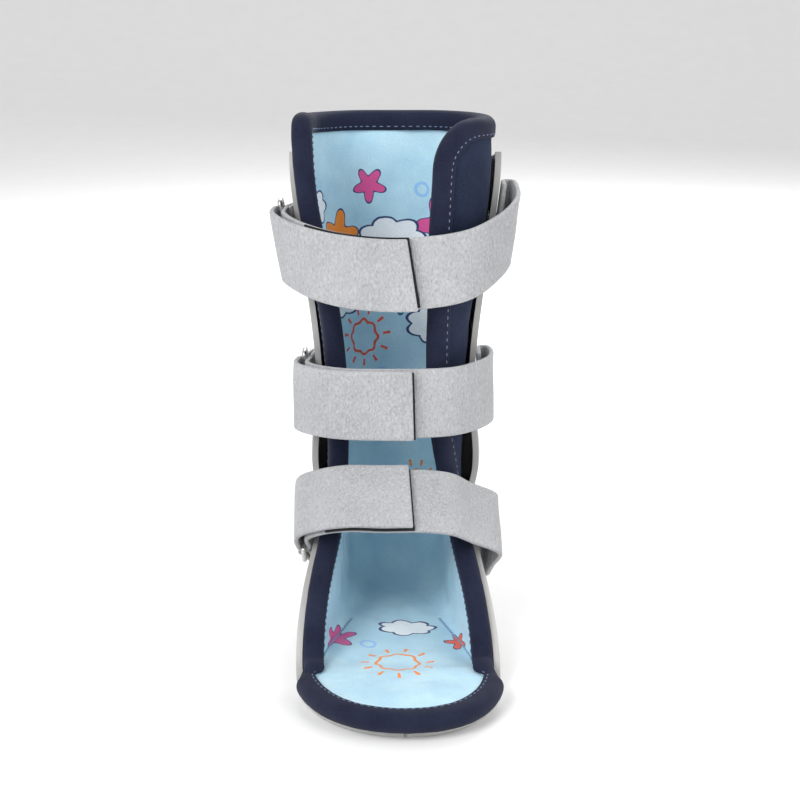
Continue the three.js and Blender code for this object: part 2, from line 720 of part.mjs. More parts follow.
// A rivet along the wall's normal: a shank with a flat head at each end.
function rivetPlace(y, z, side) {
  const step = 1;
  const wide = sideAt(y, z);
  const normal = new THREE.Vector3(
    1,
    -(sideAt(y + step, z) - sideAt(y - step, z)) / (2 * step),
    -(sideAt(y, z + step) - sideAt(y, z - step)) / (2 * step),
  ).normalize();
  const point = new THREE.Vector3(wide, y, z);
  if (side < 0) {
    normal.x *= -1;
    point.x *= -1;
  }
  return { point, turn: new THREE.Quaternion().setFromUnitVectors(new THREE.Vector3(0, 1, 0), normal) };
}

function lathe(profile, sides) {
  return new THREE.LatheGeometry(profile.map(([r, h]) => new THREE.Vector2(r, h)), sides);
}

// `stack` is the thickness of what lies between the wall's outer face and the rivet's outer head.
function rivet(stack) {
  const { radius, thick } = RIVET_HEAD;
  const inside = -WALL - RIVET_GAP;
  const outside = stack + TOUCH_GAP;
  return lathe([
    [0, inside - thick], [radius, inside - thick], [radius, inside],
    [RIVET_RADIUS, inside], [RIVET_RADIUS, outside],
    [radius, outside], [radius, outside + thick], [0, outside + thick],
  ], RIVET_SIDES);
}

function rivetHole(stack) {
  const radius = RIVET_RADIUS + TOUCH_GAP;
  const [low, high] = [-WALL - 2 * RIVET_GAP, stack + 2 * TOUCH_GAP];
  return lathe([[0, low], [radius, low], [radius, high], [0, high]], RIVET_SIDES);
}

function settled(geometry, { point, turn }) {
  return geometry.clone().applyQuaternion(turn).translate(point.x, point.y, point.z);
}

// Places of the sections: close together at the top, the heel and the toe.
function placesToToe(end, count) {
  return steps(0, 1, count).slice(1).map((share) => 2.58 + (end - 2.58) * Math.sin(share * QUARTER));
}
const SHELL_PLACES = [
  0, 0.04, ...steps(0.12, 0.9, 5), ...steps(1, 2, 9), ...steps(2.15, 2.58, 3),
  ...placesToToe(3, 7),
];
const LINER_TOP = (SHELL_HEIGHT - LINER_HEIGHT) / LEG_RUN;
const LINER_TOE = 3 + (2 * TOE_LAP) / FOREFOOT;
const LINER_PLACES = [
  ...[0, 1.2, 4.2, 9, 18].map((below) => LINER_TOP + below / LEG_RUN),
  ...steps(0.12, 0.85, 4), 1, 1.06, ...steps(1.16, 2, 6), 2.25, 2.5, ...steps(2.59, 2.71, 3),
  ...placesToToe(LINER_TOE, 6).filter((at) => at > 2.73),
];

// Cut-outs, drawn as seen from the front: x across, z up, both as shares of the figure's size.
const PENGUIN_SIDE = [
  { x: 0, z: 1 }, { x: 0.13, z: 0.975 }, { x: 0.215, z: 0.89 }, { x: 0.225, z: 0.775 },
  { x: 0.245, z: 0.69 }, { x: 0.33, z: 0.53 }, { x: 0.405, z: 0.36 }, { x: 0.425, z: 0.25 },
  { x: 0.36, z: 0.3 }, { x: 0.325, z: 0.2 }, { x: 0.25, z: 0.115 }, { x: 0.265, z: 0.02 },
  { x: 0.2, z: 0 }, { x: 0.08, z: 0 }, { x: 0.05, z: 0.03 }, { x: 0, z: 0.04 },
];
const DOLPHIN = [
  { x: 0.5, z: 0.06 }, { x: 0.42, z: 0.19 }, { x: 0.3, z: 0.3 }, { x: 0.13, z: 0.35 },
  { x: 0.02, z: 0.37 }, { x: -0.08, z: 0.44 }, { x: -0.195, z: 0.47 }, { x: -0.165, z: 0.36 },
  { x: -0.28, z: 0.315 }, { x: -0.4, z: 0.22 }, { x: -0.475, z: 0.06 }, { x: -0.48, z: -0.14 },
  { x: -0.44, z: -0.29 }, { x: -0.47, z: -0.38 }, { x: -0.43, z: -0.475 }, { x: -0.33, z: -0.37 },
  { x: -0.12, z: -0.355 }, { x: -0.27, z: -0.26 }, { x: -0.315, z: -0.14 }, { x: -0.22, z: -0.055 },
  { x: -0.05, z: -0.01 }, { x: 0.25, z: 0.005 }, { x: 0.46, z: 0.015 },
];
const BLADE = [
  { x: 0.1, z: 0.33 }, { x: 0.1, z: 0.5 }, { x: 0.26, z: 0.69 }, { x: 0.5, z: 0.77 },
  { x: 0.74, z: 0.7 }, { x: 0.81, z: 0.58 }, { x: 0.52, z: 0.4 }, { x: 0.26, z: 0.24 },
];

function drawn(rows, size, divisions, tension = 0.5) {
  const points = rows.map((row) => new THREE.Vector3(row.x * size, row.z * size, 0));
  const curve = new THREE.CatmullRomCurve3(points, true, 'catmullrom', tension);
  return new THREE.Shape(curve.getPoints(divisions).slice(1).map((p) => new THREE.Vector2(p.x, p.y)));
}

function penguin() {
  const left = PENGUIN_SIDE.slice(1, -1).reverse().map(({ x, z }) => ({ x: -x, z }));
  return drawn([...PENGUIN_SIDE, ...left], PENGUIN_HEIGHT, 44, 0.4);
}

function circle(radius) {
  return new THREE.Shape().absarc(0, 0, radius, 0, 2 * Math.PI);
}

function throughBack(shape, up, turn = 0, segments = 10) {
  const depth = HEEL_BACK;
  const geometry = new THREE.ExtrudeGeometry(shape, { depth, bevelEnabled: false, curveSegments: segments });
  geometry.rotateZ(turn).rotateX(QUARTER);
  return geometry.translate(0, HEEL_BACK + depth / 2, up);
}

const cutOuts = [
  throughBack(penguin(), PENGUIN_BASE),
  throughBack(drawn(DOLPHIN, DOLPHIN_LENGTH, 46), DOLPHIN_CENTRE),
  ...[0, 1, 2, 3].map((i) => throughBack(drawn(BLADE, PINWHEEL_RADIUS, 12), PINWHEEL_CENTRE, i * QUARTER)),
  throughBack(circle(HEEL_WINDOW.radius), HEEL_WINDOW.centre, 0, 20),
];

function shell(rivetHoles) {
  const skin = (depth) => SHELL_PLACES.map((at) => {
    const half = shellHalf(at);
    return mirrorJoin(half, half).map((p) => shellPoint(at, p, depth));
  });
  return cut(wallBetween(skin(0), skin(WALL)), [...cutOuts, ...rivetHoles]);
}

const linerSections = LINER_PLACES.map((at) => (
  mirrorJoin(linerHalf(at, 'left'), linerHalf(at, 'right'))
));

function linerSkin(depth) {
  return LINER_PLACES.map((at, row) => linerSections[row].map((p) => linerPoint(at, p, depth)));
}

const LINER_DEPTH = PAD + TOUCH_GAP + LINING;

// The tape's section, a channel over the liner's edge: past is the distance past the edge, and
// depth the distance from the liner's outer face.
function tapeOutline() {
  const tip = TAPE_GAP + BINDING_WALL;
  const root = tip - BINDING_WIDTH;
  const low = -TAPE_GAP;
  const high = LINER_DEPTH + TAPE_GAP;
  return [
    [root, low - BINDING_WALL], [TAPE_GAP, low - BINDING_WALL], [tip, low], [tip, high],
    [TAPE_GAP, high + BINDING_WALL], [root, high + BINDING_WALL],
    [root, high], [TAPE_GAP, high], [TAPE_GAP, low], [root, low],
  ];
}

// Tape along a row of spots { at, across } on the liner's edge, with the liner on its right.
function tape(path) {
  const nudge = 0.004;
  const spots = path.map(({ at, across }) => {
    const stretch = linerAt(at + nudge, across, 0).distanceTo(linerAt(at - nudge, across, 0));
    return { at, across, stretch: stretch / (2 * nudge) };
  });
  const outline = tapeOutline();
  const rings = spots.map(({ at, across, stretch }, i) => {
    const before = spots[Math.max(i - 1, 0)];
    const after = spots[Math.min(i + 1, spots.length - 1)];
    const along = new THREE.Vector2((after.at - before.at) * stretch, after.across - before.across);
    along.normalize();
    return outline.map(([past, depth]) => (
      linerAt(at - (along.y * past) / stretch, across + along.x * past, depth)
    ));
  });
  return joinRings(rings, outline, false);
}

const leftEdge = (at) => ({ at, across: -rowLength(linerHalf(at, 'left')) });
const rightEdge = (at) => ({ at, across: rowLength(linerHalf(at, 'right')) });
const upperPlaces = LINER_PLACES.filter((at) => at < NOTCH_AT - 0.08);
const toePlaces = LINER_PLACES.filter((at) => at > NOTCH_AT);
const topEdge = steps(0.05, 0.95, 16).map((share) => ({
  at: LINER_TOP,
  across: leftEdge(LINER_TOP).across * (1 - share) + rightEdge(LINER_TOP).across * share,
}));
const wingPath = [
  ...upperPlaces.map(leftEdge).reverse(), ...topEdge, ...upperPlaces.map(rightEdge),
];
const toePath = [...toePlaces.map(rightEdge), ...toePlaces.map(leftEdge).reverse()];

// A label on the liner's back: below the liner's top, and between two shares of half the calf's width.
function label({ below, tall, from, to }) {
  const places = steps(LINER_TOP + below / LEG_RUN, LINER_TOP + (below + tall) / LEG_RUN, 3);
  const skin = (depth) => places.map((at) => {
    const round = valueAt(SECTIONS, 'round', at) - WALL - SIDE_GAP;
    const flat = halfWidth(at) - WALL - SIDE_GAP - round;
    return steps((from * CALF_WIDTH) / 2, (to * CALF_WIDTH) / 2, 5).map((x) => {
      const side = Math.sign(x) || 1;
      const angle = Math.asin(Math.max(Math.abs(x) - flat, 0) / round);
      const p = { x: Math.abs(x), d: round * (1 - Math.cos(angle)), angle, side };
      return linerPoint(at, p, depth);
    });
  });
  return wallBetween(skin(-TOUCH_GAP - LABEL_THICK), skin(-TOUCH_GAP));
}

add('liner_pad', wallBetween(linerSkin(0), linerSkin(PAD)), 'navy');
add('liner_lining', wallBetween(linerSkin(PAD + TOUCH_GAP), linerSkin(LINER_DEPTH)), 'lining');
add('wing_binding', tape(wingPath), 'tape');
add('toe_binding', tape(toePath), 'tape');
add('blue_patch', label(BLUE_PATCH), 'blue');
add('white_label', label(WHITE_LABEL), 'white');

const shellHoles = [];
for (const strap of STRAPS) {
  const route = strapRoute(strap);
  const anchorSpot = route.at(0, -strap.foldBack / 2, strap.anchorRise);
  const anchorPlace = rivetPlace(anchorSpot.y, anchorSpot.z, 1);
  const anchorStack = route.inner + STRAP_THICK / 2 - sideAt(anchorSpot.y, anchorSpot.z);
  const { rear, outer } = tabLayers(route, strap);
  const tabEnd = rear - TAB_LENGTH * 0.75;
  const tabSpot = route.at(0, tabEnd, strap.ringRise);
  const tabPlace = rivetPlace(tabSpot.y, tabSpot.z, -1);
  const tabStack = outer(tabEnd) + TAB_THICK / 2 + 2 * TOUCH_GAP - sideAt(tabSpot.y, tabSpot.z);
  const anchorHole = settled(rivetHole(anchorStack), anchorPlace);
  const tabHole = settled(rivetHole(tabStack), tabPlace);
  shellHoles.push(anchorHole, tabHole);
  const band = ribbon(strapFrames(strap, route), STRAP_WIDTH, STRAP_THICK);
  add(`${strap.name}_strap`, cut(band, [anchorHole]), 'strap');
  add(`${strap.name}_hook_patch`, ribbon(hookFrames(strap, route), STRAP_WIDTH, HOOK_THICK), 'hook');
  add(`${strap.name}_ring`, wireLoop(ringPoints(route, strap), WIRE / 2, 6), 'steel');
  const tab = ribbon(tabFrames(route, strap), TAB_WIDTH, TAB_THICK);
  add(`${strap.name}_ring_tab`, cut(tab, [tabHole]), 'strap');
  add(`${strap.name}_strap_rivet`, settled(rivet(anchorStack), anchorPlace), 'steel');
  add(`${strap.name}_tab_rivet`, settled(rivet(tabStack), tabPlace), 'steel');
}
add('shell', shell(shellHoles), 'plastic');

export default boot;
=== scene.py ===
# A child's ankle-foot walking boot on a pale studio floor, in metres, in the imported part's frame.
# The toe points towards -Y and the rings stand on the -X side.

import math

import bmesh
import bpy
from mathutils import Matrix, Vector, noise


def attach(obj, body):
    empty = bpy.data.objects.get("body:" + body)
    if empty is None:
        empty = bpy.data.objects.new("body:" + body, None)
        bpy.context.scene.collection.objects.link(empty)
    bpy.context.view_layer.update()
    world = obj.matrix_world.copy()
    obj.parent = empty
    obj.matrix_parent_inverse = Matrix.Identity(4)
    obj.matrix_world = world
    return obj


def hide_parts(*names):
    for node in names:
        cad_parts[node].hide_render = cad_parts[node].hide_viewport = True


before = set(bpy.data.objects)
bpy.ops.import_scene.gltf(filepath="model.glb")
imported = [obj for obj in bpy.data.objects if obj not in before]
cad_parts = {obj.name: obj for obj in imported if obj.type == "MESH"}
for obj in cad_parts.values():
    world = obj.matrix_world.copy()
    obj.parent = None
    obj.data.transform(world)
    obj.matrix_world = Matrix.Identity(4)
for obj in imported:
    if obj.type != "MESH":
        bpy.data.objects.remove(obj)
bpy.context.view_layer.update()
MM = 0.001

# Shell
# One sheet of polypropylene, drawn warm over a last, trimmed, with four figures cut through its
# back. Its sections run down the leg, round the heel and along the sole to the toe.
HEIGHT, CALF, HEEL, BALL = 204, 90, 64, 84
ANKLE_HEIGHT, ANKLE_FRONT, HEEL_RADIUS = 70, 24, 28
LEG_DEPTH, LEG_RUN, FOREFOOT = 62, 134, 94
WALL, CORNER_LIFT, CORNER_RUN = 2.6, 6, 0.6
TOE_START, TOE_POWER, TOE_SHIFT = 2.5, 2.3, 4.2
ANKLE_BULGE = {"out": 4, "back": 8, "up": 75, "spread": 15}
QUARTER = math.pi / 2
# place along the boot: half width, lean of the back, front edge from the bend line, corner radius
LEG = [
    (0.0, 1.0, 0.05, 0.45, 0.73), (0.04, 0.995, 0.045, 0.39, 0.72), (0.12, 0.978, 0.035, 0.385, 0.7),
    (0.24, 0.928, 0.015, 0.385, 0.68), (0.37, 0.866, -0.005, 0.385, 0.64),
    (0.52, 0.807, -0.025, 0.385, 0.6), (0.66, 0.772, -0.033, 0.38, 0.57),
    (0.8, 0.757, -0.022, 0.37, 0.555), (1.0, 0.75, 0.0, 0.33, 0.56),
]
HEEL_TURN = [(1.25, 1.03, 0.28, 0.79), (1.5, 1.0, 0.25, 0.8), (1.75, 1.01, 0.27, 0.68)]
FOOT = [
    (2.0, 0.82, 0.7, 0.41), (2.14, 0.88, 0.585, 0.36), (2.3, 0.945, 0.45, 0.3), (2.44, 0.985, 0.31, 0.25),
    (2.53, 1.0, 0.17, 0.16), (2.59, 1.0, 0.06, 0.1), (2.63, 1.0, 0.0, 0.08), (3.0, 1.0, 0.0, 0.08),
]
SECTIONS = [
    (at, half * CALF / 2, back * LEG_DEPTH, edge * LEG_DEPTH, corner * CALF / 2)
    for at, half, back, edge, corner in LEG
] + [
    (at, half * HEEL / 2, 0, edge * LEG_DEPTH, corner * HEEL / 2) for at, half, edge, corner in HEEL_TURN
] + [
    (at, half * BALL / 2, 0, ANKLE_HEIGHT - max(edge * ANKLE_HEIGHT, WALL + 0.3), corner * BALL / 2)
    for at, half, edge, corner in FOOT
]


def value_at(rows, column, at):
    """A column's value at a place, on a smooth curve through the rows."""
    last = len(rows) - 1
    if at <= rows[0][0]:
        return rows[0][column]
    if at >= rows[last][0]:
        return rows[last][column]
    i = next(k for k in range(last) if at <= rows[k + 1][0])

    def slope(k):
        before, after = rows[max(k - 1, 0)], rows[min(k + 1, last)]
        return (after[column] - before[column]) / (after[0] - before[0])

    span = rows[i + 1][0] - rows[i][0]
    t = (at - rows[i][0]) / span
    ends = rows[i][column] * (1 + 2 * t) * (1 - t) ** 2 + rows[i + 1][column] * (3 - 2 * t) * t ** 2
    return ends + span * (slope(i) * t * (1 - t) ** 2 - slope(i + 1) * t ** 2 * (1 - t))


def smooth(start, end, value):
    t = min(max((value - start) / (end - start), 0), 1)
    return t * t * (3 - 2 * t)


def reach(at, depth=0.0):
    """From the ankle's bend line to a face that lies depth inside the shell's outer face."""
    if at <= 1:
        return LEG_DEPTH + value_at(SECTIONS, 2, at) - depth
    if at >= 2:
        return ANKLE_HEIGHT - depth
    turn = (at - 1) * QUARTER
    to_back, to_sole = math.cos(turn), math.sin(turn)
    back, sole = LEG_DEPTH - HEEL_RADIUS, ANKLE_HEIGHT - HEEL_RADIUS
    along, aside = back * to_back + sole * to_sole, back * to_sole - sole * to_back
    curved = along + math.sqrt(max((HEEL_RADIUS - depth) ** 2 - aside ** 2, 0))
    if curved * to_back > back and curved * to_sole > sole:
        return curved
    return min((LEG_DEPTH - depth) / max(to_back, 1e-9), (ANKLE_HEIGHT - depth) / max(to_sole, 1e-9))


def half_width(at, grow=0.0):
    half = value_at(SECTIONS, 1, at)
    share = (at - TOE_START) * FOREFOOT / ((3 - TOE_START) * FOREFOOT + grow)
    return half * max(1 - min(share, 1) ** TOE_POWER, 0) ** (1 / TOE_POWER) if share > 0 else half


def place(at, x, out):
    """A point of a section, in millimetres: x across and out from the bend line."""
    if at <= 1:
        return Vector((x, out - ANKLE_FRONT, HEIGHT - at * LEG_RUN))
    if at < 2:
        turn = (at - 1) * QUARTER
        return Vector((x, out * math.cos(turn) - ANKLE_FRONT, ANKLE_HEIGHT - out * math.sin(turn)))
    ahead = at - 2
    return Vector((x + TOE_SHIFT * ahead ** 2, -ANKLE_FRONT - ahead * FOREFOOT, ANKLE_HEIGHT - out))


def bulge(y, z):
    """How far the wall is blown out for the ankle bone, in millimetres."""
    away = (y - ANKLE_BULGE["back"]) ** 2 + (z - ANKLE_BULGE["up"]) ** 2
    return ANKLE_BULGE["out"] * math.exp(-away / (2 * ANKLE_BULGE["spread"] ** 2))


def walk(pieces, distance):
    """x, d and direction at a distance along straight and curved pieces (length, turn)."""
    x = d = angle = 0.0
    for length, turn in pieces:
        part = min(distance, length)
        bend = turn * part / length if length > 0 else 0
        chord = 2 * part * math.sin(bend / 2) / bend if bend else part
        x += chord * math.cos(angle + bend / 2)
        d += chord * math.sin(angle + bend / 2)
        angle += bend
        distance -= part
        if distance <= 0:
            return x, d, angle
    return x + distance * math.cos(angle), d + distance * math.sin(angle), angle


def shell_half(at):
    half = half_width(at)
    corner = min(value_at(SECTIONS, 4, at), max(half * 0.9, 0.4))
    span = reach(at) - value_at(SECTIONS, 3, at)
    turn = QUARTER if span >= corner else math.acos(1 - span / corner)
    flat = max(half - corner * math.sin(turn), 0.2)
    return [(flat, 0), (corner * turn, turn), (max(span - corner, 0), 0)]


def shell_point(at, share, depth=0.0):
    """A point of the shell: share from -1 at one edge to 1 at the other."""
    pieces = shell_half(at)
    side = -1 if share < 0 else 1
    x, d, angle = walk(pieces, abs(share) * sum(length for length, turn in pieces))
    inward = reach(at) - reach(at, depth)
    point = place(at, side * (x - depth * math.sin(angle)), reach(at) - d - inward * math.cos(angle))
    span = reach(at) - value_at(SECTIONS, 3, at)
    point.z += CORNER_LIFT * (1 - smooth(0, CORNER_RUN, at)) * (d / span) ** 2
    point.x += side * bulge(point.y, point.z) * smooth(0, QUARTER, angle)
    return point * MM


def spread(start, end, count):
    return [start + (end - start) * i / count for i in range(count + 1)]


def finished(name):
    obj = bpy.context.object
    obj.name = obj.data.name = name
    return obj


def surface(name, rows, columns, point, uv=None):
    """A grid whose vertices are laid on point(row, column), with rows and columns as values."""
    bpy.ops.object.select_all(action="DESELECT")
    bpy.ops.mesh.primitive_grid_add(x_subdivisions=len(columns) - 1, y_subdivisions=len(rows) - 1, size=2)
    obj = finished(name)
    wide = len(columns)
    for i, vertex in enumerate(obj.data.vertices):
        vertex.co = point(rows[i // wide], columns[i % wide])
    if uv:
        layer = obj.data.uv_layers.active.data
        for loop in obj.data.loops:
            i = loop.vertex_index
            layer[loop.index].uv = uv(rows[i // wide], columns[i % wide])
    return obj


def choose(obj):
    """Selects one object alone and makes it the active one."""
    bpy.ops.object.select_all(action="DESELECT")
    obj.select_set(True)
    bpy.context.view_layer.objects.active = obj


def modify(obj, kind, **values):
    """Adds one modifier and applies it."""
    bpy.context.view_layer.objects.active = obj
    modifier = obj.modifiers.new(kind.title(), kind)
    for name, value in values.items():
        setattr(modifier, name, value)
    bpy.ops.object.modifier_apply(modifier=modifier.name)


def thicken(obj, thickness, offset):
    """Gives a surface its wall: offset -1 inwards, 0 both ways, 1 outwards."""
    modify(obj, "SOLIDIFY", thickness=thickness, offset=offset, use_even_offset=False)


def soften(obj, width, segments, degrees):
    """Rounds the edges that are sharper than an angle."""
    limit = math.radians(degrees)
    modify(obj, "BEVEL", width=width, segments=segments, limit_method="ANGLE", angle_limit=limit)


OUTWARD = (bpy.ops.mesh.normals_make_consistent, {"inside": False})


def edit(obj, *steps):
    """Runs edit-mode operators on the whole mesh."""
    choose(obj)
    bpy.ops.object.mode_set(mode="EDIT")
    bpy.ops.mesh.select_all(action="SELECT")
    for step, values in steps:
        step(**values)
    bpy.ops.object.mode_set(mode="OBJECT")


def smooth_faces(obj, degrees):
    choose(obj)
    bpy.ops.object.shade_smooth_by_angle(angle=math.radians(degrees))


def settle(obj, nodes, slot):
    """The finished piece rides the boot and stands for CAD nodes."""
    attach(obj, "root")
    if nodes:
        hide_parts(*nodes)
    return obj


def outline_cutter(name, points, low, high):
    """A prism through the back: points are x and z in millimetres."""
    bpy.ops.object.select_all(action="DESELECT")
    bpy.ops.mesh.primitive_circle_add(vertices=len(points), radius=1, fill_type="NGON")
    obj = finished(name)
    for vertex, (x, z) in zip(obj.data.vertices, points):
        vertex.co = Vector((x, low, z)) * MM
    through = (0, (high - low) * MM, 0)
    edit(
        obj,
        (bpy.ops.mesh.extrude_region_move, {"TRANSFORM_OT_translate": {"value": through}}),
        (bpy.ops.mesh.select_all, {"action": "SELECT"}),
        OUTWARD,
    )
    return obj


def closed_curve(rows, size, count):
    """Points of a smooth closed outline through rows of x and z shares of its size."""
    n = len(rows)
    points = []
    for step in range(count):
        place_on = step * n / count
        i, t = int(place_on), place_on % 1
        p = [rows[(i + k) % n] for k in (-1, 0, 1, 2)]
        points.append(tuple(size * 0.5 * (
            2 * p[1][a] + (p[2][a] - p[0][a]) * t
            + (2 * p[0][a] - 5 * p[1][a] + 4 * p[2][a] - p[3][a]) * t ** 2
            + (3 * p[1][a] - p[0][a] - 3 * p[2][a] + p[3][a]) * t ** 3
        ) for a in (0, 1)))
    return points


PENGUIN_SIDE = [
    (0, 1), (0.13, 0.975), (0.215, 0.89), (0.225, 0.775), (0.245, 0.69), (0.33, 0.53), (0.405, 0.36),
    (0.425, 0.25), (0.36, 0.3), (0.325, 0.2), (0.25, 0.115), (0.265, 0.02), (0.2, 0), (0.08, 0),
    (0.05, 0.03), (0, 0.04),
]
PENGUIN = PENGUIN_SIDE + [(-x, z) for x, z in reversed(PENGUIN_SIDE[1:-1])]
DOLPHIN = [
    (0.5, 0.06), (0.42, 0.19), (0.3, 0.3), (0.13, 0.35), (0.02, 0.37), (-0.08, 0.44), (-0.195, 0.47),
    (-0.165, 0.36), (-0.28, 0.315), (-0.4, 0.22), (-0.475, 0.06), (-0.48, -0.14), (-0.44, -0.29),
    (-0.47, -0.38), (-0.43, -0.475), (-0.33, -0.37), (-0.12, -0.355), (-0.27, -0.26), (-0.315, -0.14),
    (-0.22, -0.055), (-0.05, -0.01), (0.25, 0.005), (0.46, 0.015),
]
BLADE = [
    (0.1, 0.33), (0.1, 0.5), (0.26, 0.69), (0.5, 0.77), (0.74, 0.7), (0.81, 0.58), (0.52, 0.4),
    (0.26, 0.24),
]
PENGUIN_BASE, PENGUIN_HEIGHT, DOLPHIN_CENTRE, DOLPHIN_LENGTH = 148, 43, 119.5, 30.5
WINDOW_CENTRE, WINDOW_RADIUS = 44, 10.9
PINWHEEL_CENTRE, HUB_RADIUS, BLADE_LENGTH = 82.5, 0.9, 12.6


def round_hole(centre, radius, count):
    turns = spread(0, 2 * math.pi, count)[:-1]
    return [(radius * math.cos(a), centre + radius * math.sin(a)) for a in turns]


figures = [
    [(x, z + PENGUIN_BASE) for x, z in closed_curve(PENGUIN, PENGUIN_HEIGHT, 120)],
    [(x, z + DOLPHIN_CENTRE) for x, z in closed_curve(DOLPHIN, DOLPHIN_LENGTH, 110)],
    round_hole(WINDOW_CENTRE, WINDOW_RADIUS, 56),
    round_hole(PINWHEEL_CENTRE, HUB_RADIUS, 16),
]
for quarter in range(4):
    c, s = math.cos(quarter * QUARTER), math.sin(quarter * QUARTER)
    blade = closed_curve(BLADE, BLADE_LENGTH, 40)
    figures.append([(x * c - z * s, PINWHEEL_CENTRE + x * s + z * c) for x, z in blade])

shell_rows = spread(0, 1, 64) + spread(1, 2, 46)[1:] + spread(2, 2.64, 26)[1:]
shell_rows += [2.64 + 0.36 * math.sin(s * QUARTER) for s in spread(0, 1, 20)[1:]]
shell = surface("shell_visual", shell_rows, spread(-1, 1, 72), shell_point)
thicken(shell, WALL * MM, -1)
edit(shell, (bpy.ops.mesh.remove_doubles, {"threshold": 0.00005}),
     OUTWARD)
for i, points in enumerate(figures):
    cutter = outline_cutter(f"cutter_{i}", points, 20, 60)
    modify(shell, "BOOLEAN", operation="DIFFERENCE", object=cutter, solver="EXACT")
    bpy.data.objects.remove(cutter)
soften(shell, 0.45 * MM, 2, 55)
smooth_faces(shell, 35)
settle(shell, ["shell"], "shell")


def give(node, values):
    """Sets the inputs of a node by name or number, and links the ones that come from a socket."""
    for key, value in values.items():
        if isinstance(value, bpy.types.NodeSocket):
            node.id_data.links.new(value, node.inputs[key])
        else:
            node.inputs[key].default_value = value


def graph(name):
    """A new node material, a function that adds a node, its shader, and its place on the object."""
    material = bpy.data.materials.new(name)
    material.use_nodes = True
    tree = material.node_tree

    def add(kind, operation=None, **inputs):
        node = tree.nodes.new("ShaderNode" + kind)
        if operation:
            setattr(node, "blend_type" if kind == "MixRGB" else "operation", operation)
        for key, value in inputs.items():
            numbered = key[0] == "i" and key[1:].isdigit()
            give(node, {int(key[1:]) if numbered else key: value})
        return node

    shader = next(node for node in tree.nodes if node.type == "BSDF_PRINCIPLED")
    return material, add, shader, add("TexCoord").outputs["Object"]


def between(add, factor, first, second):
    """A colour between two, by a factor socket."""
    node = add("MixRGB", "MIX", i0=factor)
    for key, colour in ((1, first), (2, second)):
        give(node, {key: colour if isinstance(colour, bpy.types.NodeSocket) else (*colour, 1)})
    return node.outputs[0]


def mottled(add, where, scale, detail):
    """Soft noise from 0 to 1."""
    return add("TexNoise", Vector=where, Scale=scale, Detail=detail).outputs["Fac"]


def drawn_out(add, where, scale):
    """The same place with each axis scaled, so that noise on it is drawn out."""
    return add("Mapping", Vector=where, Scale=scale).outputs[0]


def ranged(add, value, low, high, to_low=0.0, to_high=1.0):
    node = add("MapRange", i0=value, i1=low, i2=high, i3=to_low, i4=to_high)
    node.clamp = True
    return node.outputs[0]


def bumped(add, shader, height, strength, distance, normal=None):
    bump = add("Bump", Strength=strength, Distance=distance, Height=height)
    if normal:
        give(bump, {"Normal": normal})
    give(shader, {"Normal": bump.outputs[0]})
    return bump.outputs[0]


def paint(obj, material):
    obj.data.materials.clear()
    obj.data.materials.append(material)


material, add, shader, where = graph("moulded_plastic")
clouds = mottled(add, where, 22.0, 3.0)
grain = mottled(add, where, 1500.0, 2.0)
scuffs = mottled(add, drawn_out(add, where, (700, 700, 60)), 1.0, 4.0)
waves = mottled(add, where, 60.0, 1.0)
tone = between(add, ranged(add, clouds, 0.35, 0.65), (0.46, 0.46, 0.447), (0.505, 0.505, 0.49))
give(shader, {
    "Base Color": tone,
    "Roughness": ranged(add, scuffs, 0.35, 0.75, 0.36, 0.5),
    "Subsurface Weight": 0.08,
    "Subsurface Radius": (0.003, 0.003, 0.0025),
    "Subsurface Scale": 1.0,
})
soft = bumped(add, shader, waves, 0.12, 0.0012)
bumped(add, shader, grain, 0.05, 0.0004, soft)
paint(shell, material)

# Liner
# Closed-cell foam faced with navy brushed cloth, cut flat with two side wings and folded into the
# shell, whose walls hold its lower part. The +X wing is folded inwards.
LINER_HEIGHT, TOE_PAST, TOE_IN = 222, 2.8, 0.8
LINER_TOP = (HEIGHT - LINER_HEIGHT) / LEG_RUN
LINER_TOE = 3 + TOE_PAST / FOREFOOT
PAD, LINING, PLY_GAP = 4.0, 1.0, 0.3
SIDE_GAP, TOE_GAP, SEAT_GAP = 1.9, 2.2, 0.4
# side: width of the wing, radius of its top corner, rise of its top edge
WING_SIDES = {-1: (16, 9, 6), 1: (38, 18, 2)}
# place, left share, left curl, right share, right curl, lap over the toe
WINGS = [
    (-0.14, 1.0, -8, 1.0, 76, 0), (0.15, 1.0, 6, 1.0, 75, 0), (0.42, 0.95, 24, 0.84, 64, 0),
    (0.8, 0.9, 26, 0.66, 50, 0), (1.0, 0.8, 20, 0.5, 30, 0), (1.3, 0.55, 8, 0.3, 8, 0),
    (1.7, 0.35, 0, 0.15, 0, 0), (2.0, 0.3, 0, 0.12, 0, 0), (2.45, 0.2, 0, 0.08, 0, 0),
    (2.59, 0.04, 0, 0.02, 0, 0), (2.63, 0.0, 0, 0.0, 0, 0.2), (2.7, 0.0, 0, 0.0, 0, 1),
    (3.0, 0, 0, 0, 0, 1),
]


def seat(at):
    off_back, off_toe = 1 - smooth(1.3, 1.7, at), smooth(2.45, 2.64, at)
    return SEAT_GAP + (SIDE_GAP - SEAT_GAP) * off_back + (TOE_GAP - SEAT_GAP) * off_toe


